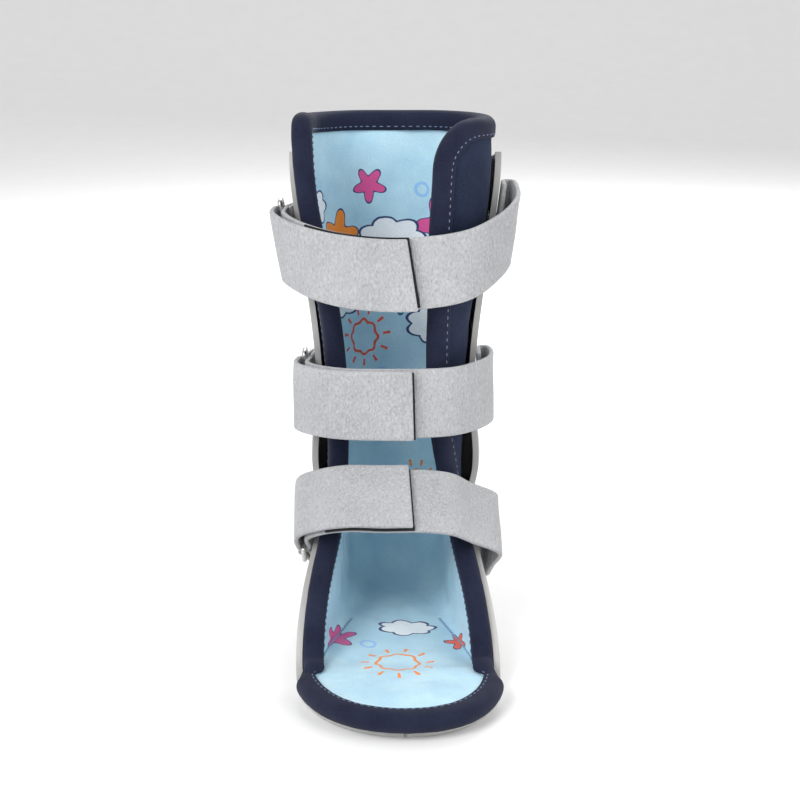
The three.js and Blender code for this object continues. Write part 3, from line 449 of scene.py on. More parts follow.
def liner_half(at, side):
    wall = WALL + SIDE_GAP
    corner = max(value_at(SECTIONS, 4, at) - wall, 6.5)
    lap = min(max(value_at(WINGS, 5, at), 0), 1)
    flat = half_width(at, TOE_PAST * lap) - (1 - lap) * (wall + corner) - lap * TOE_IN
    turn = QUARTER * (1 - lap)
    span = reach(at, WALL + seat(at)) - value_at(SECTIONS, 3, max(at, 0.1))
    below_top = max(LINER_HEIGHT - (HEIGHT - at * LEG_RUN), 0)
    wing, radius = WING_SIDES[side][:2]
    cut = radius - math.sqrt(radius ** 2 - (radius - below_top) ** 2) if below_top < radius else 0
    full = wing * value_at(WINGS, 1 if side < 0 else 3, at)
    curl = math.radians(value_at(WINGS, 2 if side < 0 else 4, at))
    length = max(full - cut, 0.02)
    return [(max(flat, 0.5), 0), (corner * turn, turn), (max(span - corner, 0) * (1 - lap), 0),
            (length, curl * length / full if full > 0 else 0)]


def liner_width(at, side):
    return sum(length for length, turn in liner_half(at, side))


def liner_at(at, across, depth):
    """A point of the liner, across in millimetres from the middle, depth from its outer face."""
    side = -1 if across < 0 else 1
    x, d, angle = walk(liner_half(at, side), abs(across))
    outer = WALL + seat(at)
    inward = reach(at, outer) - reach(at, outer + depth)
    along = math.cos(angle)
    out = reach(at, outer) - d - (inward if along > 0 else depth) * along
    point = place(at, side * (x - depth * math.sin(angle)), out)
    rise = WING_SIDES[side][2] * (1 - smooth(-0.14, CORNER_RUN, at))
    point.z += rise * min(d / (LEG_DEPTH - WALL), 1) ** 2
    return point * MM


# place along the boot, width and height of each fold, and its slope across
FOLDS = [
    (0.93, 0.02, 1.3, 0.0012), (1.12, 0.03, 1.2, -0.001), (0.2, 0.018, 0.7, 0.003),
    (0.62, 0.018, 0.7, 0.002),
]


def creases(at, across, depth):
    """How far the soft face stands in or out: soft dents, and folds where the ankle bends."""
    spot = Vector((across * 0.06, at * 8, 2.0 if depth > 2 else 9.0))
    dent = 1.1 * noise.noise(spot) + 0.6 * noise.noise(spot * 2.7)
    fold = 0.0
    for middle, wide, high, slope in FOLDS:
        line = at - middle - slope * across - 0.03 * noise.noise(Vector((across * 0.05, middle * 7, 0)))
        fold += high * math.exp(-(line / wide) ** 2) * smooth(8, 20, abs(across))
    return dent * 0.8 - fold if depth > 2 else dent * 0.35


def liner_skin(depth):
    def point(at, share):
        across = share * liner_width(at, -1 if share < 0 else 1)
        rim = smooth(1.0, 0.86, abs(share)) if at < 2.64 else smooth(LINER_TOE, LINER_TOE - 0.08, at)
        rim *= smooth(LINER_TOP, LINER_TOP + 0.06, at)
        return liner_at(at, across, depth + creases(at, across, depth) * rim)
    return point


def liner_uv(at, share):
    """Flat places on the cloth, in tenths of a metre: across, and down from the top edge."""
    across = share * liner_width(at, -1 if share < 0 else 1)
    heel_turn = 85
    leg, heel, foot = min(at, 1), min(max(at - 1, 0), 1), max(at - 2, 0)
    return (across / 100, (leg * LEG_RUN + heel * heel_turn + foot * FOREFOOT) / 100)


liner_rows = spread(LINER_TOP, 1, 56) + spread(1, 2, 40)[1:]
liner_rows += spread(2, 2.57, 18)[1:] + spread(2.57, 2.72, 12)[1:]
liner_rows += [2.72 + (LINER_TOE - 2.72) * math.sin(s * QUARTER) for s in spread(0, 1, 20)[1:]]
liner_columns = spread(-1, 1, 84)


def liner_layer(name, near, far):
    obj = surface(name, liner_rows, liner_columns, liner_skin(near), liner_uv)
    thicken(obj, (far - near) * MM, -1)
    return obj


pad = liner_layer("liner_pad_visual", 0.0, PAD)
lining = liner_layer("liner_lining_visual", PAD + PLY_GAP, PAD + PLY_GAP + LINING)
for obj, node, slot in ((pad, "liner_pad", "liner"), (lining, "liner_lining", "lining")):
    smooth_faces(obj, 60)
    settle(obj, [node], slot)

material, add, shader, where = graph("brushed_navy")
patches = mottled(add, where, 70.0, 4.0)
pile = mottled(add, where, 2600.0, 2.0)
colour = between(add, ranged(add, patches, 0.3, 0.7), (0.005, 0.009, 0.024), (0.014, 0.022, 0.05))
colour = between(add, ranged(add, pile, 0.35, 0.75), colour, (0.026, 0.036, 0.075))
give(shader, {
    "Base Color": colour,
    "Roughness": 0.92,
    "Specular IOR Level": 0.2,
    "Sheen Weight": 0.1,
    "Sheen Roughness": 0.35,
    "Sheen Tint": (0.35, 0.45, 0.75, 1),
})
soft = bumped(add, shader, patches, 0.25, 0.0012)
bumped(add, shader, pile, 0.5, 0.0005, soft)
paint(pad, material)

# Lining print
# The light blue inner face is a fine knit printed with stars, suns with dashed rays, clouds and
# bubbles. The pattern lies on the cloth's own flat places.
material, add, shader, where = graph("printed_lining")
flat_place = add("UVMap")
flat_place.uv_map = lining.data.uv_layers.active.name
flat_place = flat_place.outputs[0]
wobble = add("TexNoise", Vector=drawn_out(add, flat_place, (22, 22, 22)), Scale=1.0, Detail=1.0)
wobble = add("VectorMath", "SUBTRACT", i0=wobble.outputs["Color"], i1=(0.5, 0.5, 0.5)).outputs[0]
wobble = add("VectorMath", "SCALE", i0=wobble, Scale=0.008).outputs[0]
shifted = add("VectorMath", "ADD", i0=flat_place, i1=wobble).outputs[0]


def math_node(operation, *values):
    node = add("Math", operation, **{f"i{i}": value for i, value in enumerate(values)})
    return node.outputs[0]


def motif(x, down, radius, points=0, dent=0.0, turn=0.0, stretch=1.0, puffs=False):
    """Signed distance from a printed figure: lobes round a place, of even waves or round puffs."""
    to_middle, narrower = (-x / stretch, -down, 0), (1 / stretch, 1, 1)
    local = add("Mapping", Vector=shifted, Location=to_middle, Scale=narrower).outputs[0]
    split = add("SeparateXYZ", Vector=local)
    distance = add("VectorMath", "LENGTH", i0=local).outputs["Value"]
    if not points:
        return math_node("SUBTRACT", distance, radius)
    angle = math_node("ARCTAN2", split.outputs[0], split.outputs[1])
    lobes = math_node("COSINE", math_node("MULTIPLY", math_node("ADD", angle, turn), float(points)))
    if puffs:
        lobes = math_node("ABSOLUTE", lobes)
    edge = math_node("MULTIPLY", math_node("ADD", math_node("MULTIPLY", lobes, dent), 1.0), radius)
    return math_node("SUBTRACT", distance, edge)


def printed(colour_so_far, distance, colour, line=0.0):
    """Prints a figure in one colour, filled, or as a line of that width."""
    if line:
        distance = math_node("SUBTRACT", math_node("ABSOLUTE", distance), line)
    mask = ranged(add, distance, -0.0012, 0.0012, 1.0, 0.0)
    return between(add, mask, colour_so_far, colour)


PINK, ORANGE, CORAL = (0.72, 0.09, 0.3), (0.9, 0.27, 0.03), (0.8, 0.12, 0.07)
INK, TEAL, SKY, CREAM = (0.03, 0.05, 0.16), (0.05, 0.42, 0.47), (0.3, 0.55, 0.85), (0.9, 0.93, 0.95)
tint = mottled(add, drawn_out(add, flat_place, (6, 6, 6)), 1.0, 2.0)
colour = between(add, ranged(add, tint, 0.35, 0.65), (0.42, 0.66, 0.8), (0.52, 0.75, 0.86))
# suns: a lobed outline and a dashed ring of rays
for x, down, size, paint_colour in (
    (0.0, 2.66, 0.085, ORANGE), (-0.16, 0.8, 0.075, CORAL), (0.1, 1.52, 0.07, ORANGE),
):
    colour = printed(colour, motif(x, down, size, 8, 0.07), paint_colour, 0.0065)
    band_away = math_node("SUBTRACT", math_node("ABSOLUTE", motif(x, down, size * 1.6)), size * 0.22)
    gaps = math_node("SUBTRACT", motif(x, down, size * 1.6), motif(x, down, size * 1.6, 11, 0.2))
    rays = math_node("MAXIMUM", band_away, math_node("SUBTRACT", size * 0.27, gaps))
    colour = printed(colour, rays, paint_colour)
# stars
for x, down, size, turn, paint_colour in (
    (0.22, 0.3, 0.1, 0.3, PINK), (-0.3, 0.34, 0.09, 0.8, ORANGE), (0.03, 0.62, 0.06, 0.1, TEAL),
    (-0.27, 2.4, 0.08, 0.5, PINK), (0.3, 1.0, 0.08, 0.6, PINK), (-0.05, 1.2, 0.07, 0.9, ORANGE),
    (0.28, 2.44, 0.055, 0.4, CORAL), (-0.5, 0.5, 0.07, 0.1, CORAL), (-0.52, 1.05, 0.06, 0.7, PINK),
    (-0.12, 0.12, 0.06, 0.0, PINK),
):
    figure = motif(x, down, size, 5, 0.34, turn)
    colour = printed(colour, figure, paint_colour)
    colour = printed(colour, figure, INK, 0.004)
# clouds, filled and outlined, then bubbles, drawn as thin rings
for x, down, size, stretch in (
    (-0.02, 0.36, 0.09, 1.6), (-0.3, 0.62, 0.07, 1.6), (0.18, 0.74, 0.08, 1.5),
    (0.05, 2.3, 0.07, 1.6), (-0.5, 0.2, 0.07, 1.4), (-0.5, 0.8, 0.07, 1.4),
):
    figure = motif(x, down, size * 0.9, 3.5, 0.26, 0.2, stretch, puffs=True)
    colour = printed(colour, figure, CREAM)
    colour = printed(colour, figure, INK, 0.0045)
for x, down, size, paint_colour in (
    (0.12, 0.14, 0.03, SKY), (-0.17, 0.52, 0.035, PINK), (0.3, 0.55, 0.03, ORANGE),
    (-0.12, 2.46, 0.03, SKY), (-0.06, 0.98, 0.03, SKY), (0.16, 1.2, 0.035, TEAL),
    (-0.42, 0.36, 0.03, TEAL), (-0.44, 0.66, 0.028, SKY),
):
    colour = printed(colour, motif(x, down, size), paint_colour, 0.007)
knit = mottled(add, where, 2200.0, 2.0)
shade = ranged(add, knit, 0.3, 0.7, 0.9, 1.06)
give(shader, {
    "Base Color": add("VectorMath", "SCALE", i0=colour, Scale=shade).outputs[0],
    "Roughness": 0.9,
    "Sheen Weight": 0.25,
})
dents = mottled(add, where, 90.0, 3.0)
soft = bumped(add, shader, dents, 0.25, 0.001)
bumped(add, shader, knit, 0.4, 0.0004, soft)
paint(lining, material)

# Edge binding
# Ribbed navy tape, folded over the raw edge of foam and lining and sewn through with one line of
# stitches. One tape runs up the left wing, along the top and down the right wing, one round the toe.
DEEP = PAD + PLY_GAP + LINING
TAPE_WIDE = 7.0


def liner_edge(at, side):
    return (at, side * liner_width(at, side))


def tape_spots(path):
    """Each spot with the liner's stretch there and the way out past its edge."""
    spots = []
    nudge = 0.004
    steps = [liner_at(at + nudge, x, 0) - liner_at(at - nudge, x, 0) for at, x in path]
    stretches = [step.length / MM / (2 * nudge) for step in steps]
    for i, (at, across) in enumerate(path):
        before, after = path[max(i - 1, 0)], path[min(i + 1, len(path) - 1)]
        along = Vector(((after[0] - before[0]) * stretches[i], after[1] - before[1])).normalized()
        spots.append((at, across, stretches[i], along))
    return spots


def on_tape(spot, past, depth):
    at, across, stretch, along = spot
    return liner_at(at - along.y * past / stretch, across + along.x * past, depth)


# past the liner's edge, and depth from its outer face: out along one face and back along the other
TAPE_ROOT = 1.1 - TAPE_WIDE
tape_profile = [
    (TAPE_ROOT, -0.3), (-4.5, -0.5), (-2.5, -0.75), (-0.6, -0.8), (0.7, -0.3), (1.5, 1.0), (1.8, 2.6),
    (1.5, 4.3), (0.7, 5.6), (-0.6, 6.1), (-2.5, 6.05), (-4.5, 5.8), (TAPE_ROOT, 5.6),
]
upper_places = spread(LINER_TOP, LINER_TOP + 0.14, 22) + spread(LINER_TOP + 0.14, 1, 60)[1:]
upper_places += spread(1, 2.612, 90)[1:]
toe_places = spread(2.6, 2.73, 20)
toe_places += [2.73 + (LINER_TOE - 2.73) * math.sin(s * QUARTER) for s in spread(0, 1, 28)[1:]]
left_end, right_end = liner_edge(LINER_TOP, -1)[1], liner_edge(LINER_TOP, 1)[1]
top_spots = [(LINER_TOP, left_end + (right_end - left_end) * s) for s in spread(0.01, 0.99, 90)]
wing_path = [liner_edge(at, -1) for at in reversed(upper_places)] + top_spots
wing_path += [liner_edge(at, 1) for at in upper_places]
toe_path = [liner_edge(at, 1) for at in toe_places] + [liner_edge(at, -1) for at in reversed(toe_places)]


def evened(path, step):
    """The same path with spots a fixed distance apart, in millimetres."""
    points = [liner_at(at, x, 0) / MM for at, x in path]
    lengths = [0.0]
    for a, b in zip(points, points[1:]):
        lengths.append(lengths[-1] + (b - a).length)
    out, i = [], 0
    for target in spread(0, lengths[-1], max(int(lengths[-1] / step), 2)):
        while i < len(path) - 2 and lengths[i + 1] < target:
            i += 1
        share = (target - lengths[i]) / max(lengths[i + 1] - lengths[i], 1e-9)
        out.append(tuple(a + (b - a) * share for a, b in zip(path[i], path[i + 1])))
    return out


def blunted(spots, count=4):
    """Directions averaged with their neighbours, so that the tape goes round corners softly."""
    out = []
    for i, (at, across, stretch, along) in enumerate(spots):
        near = spots[max(i - count, 0):i + count + 1]
        mean = sum((s[3] for s in near), Vector((0, 0)))
        out.append((at, across, stretch, mean.normalized()))
    return out


def make_tape(name, path):
    spots = blunted(tape_spots(evened(path, 1.6)))

    def point(row, column):
        past, depth = tape_profile[column]
        ripple = 0.18 * noise.noise(Vector((row * 0.35, column * 0.5, 4)))
        return on_tape(spots[row], past, depth + (ripple if depth > 2 else -ripple))

    def uv(row, column):
        return (row * 1.6 / 10, column / 10)
    obj = surface(name, list(range(len(spots))), list(range(len(tape_profile))), point, uv)
    edit(obj, OUTWARD)
    thicken(obj, 0.9 * MM, 1)
    modify(obj, "SUBSURF", levels=1, render_levels=1)
    edit(obj, OUTWARD)
    smooth_faces(obj, 60)
    return obj, spots


wing_tape, wing_spots = make_tape("wing_binding_visual", wing_path)
toe_tape, toe_spots = make_tape("toe_binding_visual", toe_path)

material, add, shader, where = graph("ribbed_tape")
place_on = add("UVMap")
place_on.uv_map = wing_tape.data.uv_layers.active.name
ribs = add("TexWave", Vector=place_on.outputs[0], Scale=4.2, Distortion=0.6)
ribs.bands_direction = "X"
fuzz = mottled(add, where, 2400.0, 2.0)
worn = mottled(add, where, 90.0, 3.0)
colour = between(add, ranged(add, worn, 0.3, 0.7), (0.006, 0.008, 0.026), (0.012, 0.016, 0.04))
colour = between(add, ranged(add, fuzz, 0.45, 0.8, 0.0, 0.7), colour, (0.02, 0.025, 0.055))
give(shader, {"Base Color": colour, "Roughness": 0.82, "Specular IOR Level": 0.2, "Sheen Weight": 0.05})
soft = bumped(add, shader, ribs.outputs["Fac"], 0.3, 0.0004)
bumped(add, shader, fuzz, 0.35, 0.0004, soft)
for obj, node in ((wing_tape, "wing_binding"), (toe_tape, "toe_binding")):
    paint(obj, material)
    settle(obj, [node], "binding")


def stitch_line(name, ends, radius, colour):
    """A row of sewn stitches, each a short bent thread between two points just off the cloth."""
    bpy.ops.object.select_all(action="DESELECT")
    bpy.ops.mesh.primitive_uv_sphere_add(segments=6, ring_count=6, radius=1)
    seed = finished(name)
    base = [v.co.copy() for v in seed.data.vertices]
    faces = [list(p.vertices) for p in seed.data.polygons]
    mesh = bmesh.new()
    for start, end, out in ends:
        middle, along = (start + end) / 2, end - start
        across = along.cross(out).normalized()
        up = across.cross(along).normalized()
        made = []
        for v in base:
            lift = v.y - 0.8 * abs(v.z) ** 3
            spot = middle + along * (v.z * 0.5) + across * (v.x * radius) + up * (lift * radius)
            made.append(mesh.verts.new(spot))
        for face in faces:
            mesh.faces.new([made[i] for i in face])
    mesh.to_mesh(seed.data)
    mesh.free()
    edit(seed, OUTWARD)
    smooth_faces(seed, 80)
    thread, add, shader, where = graph(name + "_thread")
    twist = add("TexWave", Vector=where, Scale=900.0, Distortion=2.0).outputs["Fac"]
    give(shader, {
        "Base Color": between(add, twist, tuple(c * 0.75 for c in colour), colour),
        "Roughness": 0.6,
    })
    bumped(add, shader, twist, 0.3, 0.0002)
    paint(seed, thread)
    return seed


def tape_stitches(name, spots, depth, lift, inset=-4.2, dash=0.6):
    ends = []
    for i in range(2, len(spots) - 3, 2):
        start = on_tape(spots[i], inset, depth)
        end = start.lerp(on_tape(spots[i + 2], inset, depth), dash)
        out = (on_tape(spots[i], inset, depth + lift) - on_tape(spots[i], inset, depth)).normalized()
        ends.append((start, end, out))
    return stitch_line(name, ends, 0.28 * MM, (0.16, 0.2, 0.33))


for tape_name, spots in (("wing", wing_spots), ("toe", toe_spots)):
    for face, depth, lift in (("inside", 6.85, 1), ("outside", -1.4, -1)):
        settle(tape_stitches(f"{tape_name}_stitches_{face}", spots, depth, lift), [], "binding")

# Sole seam
# A zigzag of blue thread, sewn by machine, joins the liner's sole to its two side wings. It shows
# on the inner face, along the foot.
SEAM_OUT, SEAM_SWING, SEAM_LIFT = 2.5, 1.1, 0.3
for side, name in ((-1, "sole_seam_left"), (1, "sole_seam_right")):
    corners = []
    for i, at in enumerate(spread(2.02, 2.54, 44)):
        swing = SEAM_SWING if i % 2 else -SEAM_SWING
        corners.append((at, side * (liner_half(at, side)[0][0] + SEAM_OUT + swing)))
    points = [liner_at(at, x, DEEP + SEAM_LIFT + creases(at, x, DEEP)) for at, x in corners]
    outs = [(liner_at(at, x, DEEP + 1) - liner_at(at, x, DEEP)).normalized() for at, x in corners]
    ends = list(zip(points, points[1:], outs))
    settle(stitch_line(name, ends, 0.3 * MM, (0.25, 0.42, 0.62)), [], "lining")

# Labels
# A fuzzy blue hook-and-loop patch and a blank woven label beside it, both sewn to the liner's back
# above the shell.
LABEL_WALL, LABEL_GAP = 0.8, 0.45


def on_back(x, height, off):
    """A point off the liner's back face at a height, in millimetres."""
    at = (HEIGHT - height) / LEG_RUN
    corner = liner_half(at, -1)[1][0] / QUARTER
    flat = liner_half(at, -1)[0][0]
    bent = math.asin(min(max(abs(x) - flat, 0) / corner, 1))
    across = min(abs(x), flat) + bent * corner
    return liner_at(at, math.copysign(across, x), -off)


def make_label(name, low, high, left, right, ripple):
    def point(height, x):
        wave = ripple * noise.noise(Vector((x * 0.12, height * 0.12, 1.5)))
        return on_back(x, height, LABEL_GAP + wave)

    obj = surface(name, spread(high, low, 24), spread(left, right, 32), point)
    thicken(obj, LABEL_WALL * MM, 1)
    edit(obj, OUTWARD)
    soften(obj, 0.25 * MM, 2, 50)
    smooth_faces(obj, 50)
    return obj


def label_stitches(name, low, high, left, right, inset, colour):
    low, high, left, right = low + inset, high - inset, left + inset, right - inset
    corners = [(left, low), (right, low), (right, high), (left, high)]
    ends = []
    for (x0, z0), (x1, z1) in zip(corners, corners[1:] + corners[:1]):
        count = max(int(math.hypot(x1 - x0, z1 - z0) / 2.2), 1)
        for i in range(count):
            a, b = i / count, (i + 0.68) / count
            start, end = (
                on_back(x0 + (x1 - x0) * share, z0 + (z1 - z0) * share, LABEL_GAP + 0.1 + LABEL_WALL)
                for share in (a, b)
            )
            ends.append((start, end, Vector((0, 1, 0))))
    return stitch_line(name, ends, 0.22 * MM, colour)


# node, its low, high, left and right edges, ripple, thread, grain of the cloth
for node, size, ripple, colour, grain in (
    ("blue_patch", (193, 213.2, 12.6, 35), 0.3, (0.1, 0.25, 0.6), 1400.0),
    ("white_label", (198, 214, -16.5, 12), 0.25, (0.7, 0.7, 0.75), 2600.0),
):
    obj = make_label(f"{node}_visual", *size, ripple)
    material, add, shader, where = graph(f"{node}_visual_cloth")
    fine = mottled(add, where, grain, 4.0)
    wide = mottled(add, where, 160.0, 3.0)
    if node == "blue_patch":
        tone = between(add, ranged(add, fine, 0.3, 0.7), (0.035, 0.12, 0.42), (0.13, 0.31, 0.72))
        give(shader, {"Sheen Weight": 0.6})
        strength = 0.9
    else:
        tone = between(add, ranged(add, fine, 0.3, 0.7), (0.62, 0.62, 0.66), (0.82, 0.82, 0.85))
        strength = 0.25
    give(shader, {"Base Color": tone, "Roughness": 0.85})
    soft = bumped(add, shader, wide, 0.3, 0.0008)
    bumped(add, shader, fine, strength, 0.0006, soft)
    paint(obj, material)
    settle(obj, [node], node)
    settle(label_stitches(f"{node}_stitches", *size, 1.3, colour), [], node)

# Straps
# Three brushed loop-pile straps. Each is riveted to the shell on the +X side, folds forward round
# the leg, passes through a metal ring on the -X side and turns back onto itself, held by black hook.
STRAP_WIDE, STRAP_THICK, HOOK_THICK, FOLD, WIRE = 30.0, 2.0, 1.2, 2.2, 2.2
RING_LONG, RING_WIDE, RING_CORNER = 36.0, 10.5, 1.6
LAYER = STRAP_THICK + HOOK_THICK + 0.8
BAR_OFFSET = WIRE / 2 + 0.5 + STRAP_THICK / 2
FREE_END = 0.52
# name, back, up, lean, ahead, bow, ring rise, anchor rise, fold back, clearance, slant of the free
# end, side on which the hook shows
STRAPS = [
    ("top", 2, 165, 0, 35, 5.5, 8, 17, 10, 0.3, 1.4, 1),
    ("middle", 2, 109.5, 0, 34.5, 4.5, -2.5, -1.5, 10, 0.3, 0.3, -1),
    ("instep", -19.5, 41.5, 50, 37, 10, 9.5, 7, 13, 1.6, 0.7, -1),
]


def side_at(y, z):
    """Half the shell's outer width at a place on its side wall, in millimetres."""
    behind, below = y + ANKLE_FRONT, ANKLE_HEIGHT - z
    at, out = 2 - behind / FOREFOOT, below
    if below <= 0:
        at, out = (HEIGHT - z) / LEG_RUN, behind
    elif behind > 0:
        at, out = 1 + math.atan2(below, behind) / QUARTER, math.hypot(behind, below)
    half, corner = half_width(at), value_at(SECTIONS, 4, at)
    d = min(max(reach(at) - out, 0), corner)
    return half - corner + math.sqrt(corner ** 2 - (corner - d) ** 2) + bulge(y, z)


def curve_point(points, share):
    """Centripetal spline through the points."""
    last = len(points) - 1
    i = min(int(share * last), last - 1)
    t = share * last - i
    p1, p2 = points[i], points[i + 1]
    p0 = points[i - 1] if i > 0 else points[0] * 2 - points[1]
    p3 = points[i + 2] if i + 2 <= last else points[last] * 2 - points[last - 1]
    d0, d1, d2 = (max((b - a).length, 1e-4) ** 0.5 for a, b in ((p0, p1), (p1, p2), (p2, p3)))
    m1 = ((p1 - p0) / d0 - (p2 - p0) / (d0 + d1) + (p2 - p1) / d1) * d1
    m2 = ((p2 - p1) / d1 - (p3 - p1) / (d1 + d2) + (p3 - p2) / d2) * d1
    return p1 + m1 * t + (p2 * 3 - p1 * 3 - m1 * 2 - m2) * t ** 2 + (p1 * 2 - p2 * 2 + m1 + m2) * t ** 3


class Route:
    """One strap's way round the boot, in its own slanted plane."""

    def __init__(self, row):
        (self.name, back, up, lean, self.ahead, self.bow, self.ring_rise, self.anchor_rise, self.fold_back,
         self.clear, self.slant, self.hook_side) = row
        tip = math.radians(lean)
        self.forward = Vector((0, -math.cos(tip), math.sin(tip)))
        self.across = Vector((0, math.sin(tip), math.cos(tip)))
        self.origin = Vector((0, back, up))
        self.anchor_wide, self.anchor_slope = self.under(-self.fold_back / 2, self.anchor_rise)
        self.ring_wide, self.ring_slope = self.under(-2, self.ring_rise)
        self.inner = self.anchor_wide + self.clear + STRAP_THICK / 2
        self.bar = self.ring_wide + self.clear + WIRE / 2 + STRAP_THICK + 1.0
        self.bar_ahead = self.ahead * 0.16
        outer, near = self.inner + 2 * FOLD, self.bar - BAR_OFFSET
        wide, ring = self.anchor_wide, self.ring_wide
        right = [
            (outer, -self.fold_back, 1), (outer + self.bow * 0.15, -self.fold_back * 0.4, 0.95),
            (wide + self.bow + 1, self.ahead * 0.22, 0.75), (wide * 0.97, self.ahead * 0.6, 0.42),
            (wide * 0.7, self.ahead * 0.88, 0.16), (wide * 0.3, self.ahead, 0.02),
        ]
        left = [
            (-ring * 0.15, self.ahead, 0.0), (-ring * 0.55, self.ahead * 0.93, 0.2),
            (-ring * 0.88, self.ahead * 0.7, 0.55), (-near - 0.5, self.ahead * 0.4, 0.9),
            (-near, self.bar_ahead, 1),
        ]
        self.points = [Vector((x, a, share * self.anchor_rise)) for x, a, share in right]
        self.points += [Vector((x, a, share * self.ring_rise)) for x, a, share in left]

    def at(self, x, a, w):
        point = self.origin + self.forward * a + self.across * w
        return Vector((x, point.y, point.z))

    def under(self, a, w):
        top, low, middle = (side_at(p.y, p.z) for p in (
            self.at(0, a, w + STRAP_WIDE / 2), self.at(0, a, w - STRAP_WIDE / 2), self.at(0, a, w)))
        return max((top + low) / 2, middle), (top - low) / STRAP_WIDE

    def sideways(self, x, tilt=None):
        if tilt is None:
            slope = self.anchor_slope if x > 0 else -self.ring_slope
            tilt = slope * min(abs(x) / (self.anchor_wide if x > 0 else self.ring_wide), 1) ** 3
        return Vector((tilt, self.across.y, self.across.z)).normalized()

    def over(self, share, off):
        """A place on the second layer, outside the first."""
        p = curve_point(self.points, share)
        before, after = (curve_point(self.points, share + step) for step in (-0.002, 0.002))
        along = after - before
        out = Vector((along.y, -along.x)).normalized()
        return p.x + out.x * off, p.y + out.y * off, p.z

    def strap(self):
        """Middle line of the strap: across the boot, ahead, and up in the strap's own plane."""
        line = [(self.inner, a, self.anchor_rise) for a in spread(2, -self.fold_back, 8)[:-1]]
        for turn in spread(0, math.pi, 16):
            x, a = self.inner + FOLD * (1 - math.cos(turn)), -self.fold_back - FOLD * math.sin(turn)
            line.append((x, a, self.anchor_rise))
        for share in spread(0.01, 1, 90):
            p = curve_point(self.points, share)
            line.append((p.x, p.y, p.z))
        for turn in spread(0, math.pi, 16)[1:]:
            x, a = -self.bar + BAR_OFFSET * math.cos(turn), self.bar_ahead - BAR_OFFSET * math.sin(turn)
            line.append((x, a, self.ring_rise))
        for share in spread(0.965, FREE_END, 56):
            settle_in = smooth(0.7, 1, share)
            line.append(self.over(share, LAYER + (2 * BAR_OFFSET - LAYER) * settle_in))
        return line

    def hook(self):
        return [self.over(share, LAYER / 2) for share in spread(0.78, FREE_END - 0.006, 40)]


def band(name, route, line, width, thick, shift=0.0, tilt=None, slant=0.0, sway=0.0, columns=16):
    """A strip along a middle line: its rows stand across the strap, its end cut on the slant."""
    ends = len(line) - 1

    def point(row, column):
        w = column * width / 2 + shift
        back = slant * (1 + column) * smooth(0.72, 1, row / ends)
        spot = min(max(row - max(back, 0), 0), ends)
        i = min(int(spot), ends - 1)
        x, a, up = (p + (q - p) * (spot - i) for p, q in zip(line[i], line[i + 1]))
        middle = route.at(x, a, up)
        before, after = (route.at(*line[k]) for k in (max(i - 1, 0), min(i + 1, ends)))
        across = route.sideways(x, tilt)
        out = (after - before).cross(across).normalized()
        wave = sway * noise.noise(Vector((x * 0.05, column * 0.8, row * 0.045)))
        curl = -0.35 * sway * abs(column) ** 3
        return (middle + across * w + out * (wave + curl)) * MM

    def uv(row, column):
        return (row * 0.2, column * width / 20)
    obj = surface(name, list(range(len(line))), spread(-1, 1, columns), point, uv)
    thicken(obj, thick * MM, 0)
    edit(obj, OUTWARD)
    soften(obj, 0.28 * thick * MM, 2, 60)
    smooth_faces(obj, 50)
    return obj


def cloth(name, dark, light, rib, fuzz_height, sheen, pile_light_shade):
    """Woven or brushed cloth whose ribs follow the strip's own UV map, its pile painted lighter at the tips
    as a painted highlight and darker at the roots as painted shade.
    """
    material, add, shader, where = graph(name)
    place_on = add("UVMap").outputs[0]
    ribs = add("TexWave", Vector=place_on, Scale=rib, Distortion=1.2, Detail=1.0)
    ribs.bands_direction = "X"
    cross = add("TexWave", Vector=place_on, Scale=rib * 1.3, Distortion=0.8)
    cross.bands_direction = "Y"
    woven = add("Math", "MULTIPLY", i0=ribs.outputs["Fac"], i1=cross.outputs["Fac"]).outputs[0]
    fuzz = mottled(add, drawn_out(add, where, (1150, 1150, 700)), 1.0, 4.0)
    worn = mottled(add, where, 45.0, 3.0)
    tone = between(add, ranged(add, worn, 0.3, 0.7), dark, light)
    # Painted highlight on the pile's raised tips and painted shade in the hollows at its roots, both
    # following the fuzz bump; the last argument sets their strength.
    pile_highlight, pile_shade = tuple(min(c * 1.4, 1) for c in light), tuple(c * 0.62 for c in dark)
    tone = between(add, ranged(add, fuzz, 0.5, 0.72, 0.0, pile_light_shade), tone, pile_highlight)
    tone = between(add, ranged(add, fuzz, 0.28, 0.46, pile_light_shade, 0.0), tone, pile_shade)
    give(shader, {"Base Color": tone, "Roughness": 0.9, "Sheen Weight": sheen})
    soft = bumped(add, shader, woven, 0.35, 0.0005)
    bumped(add, shader, fuzz, fuzz_height, 0.0006, soft)
    return material


strap_cloth = cloth("strap_cloth", (0.36, 0.365, 0.38), (0.43, 0.435, 0.45), 4.0, 0.9, 0.1, 0.5)
hook_cloth = cloth("hook_cloth", (0.004, 0.004, 0.005), (0.012, 0.012, 0.014), 9.0, 0.8, 0.0, 0.2)
web_cloth = cloth("webbing_cloth", (0.35, 0.35, 0.365), (0.42, 0.42, 0.435), 6.0, 0.3, 0.05, 0.25)
routes = [Route(row) for row in STRAPS]
for route in routes:
    strap = band(f"{route.name}_strap_visual", route, route.strap(), STRAP_WIDE, STRAP_THICK,
                 slant=route.slant, sway=0.5)
    paint(strap, strap_cloth)
    settle(strap, [f"{route.name}_strap"], "strap")
    hook = band(f"{route.name}_hook_visual", route, route.hook(), STRAP_WIDE - 0.6, HOOK_THICK,
                         shift=0.7 * route.hook_side, slant=route.slant * 1.3)
    paint(hook, hook_cloth)
    settle(hook, [f"{route.name}_hook_patch"], "hook")

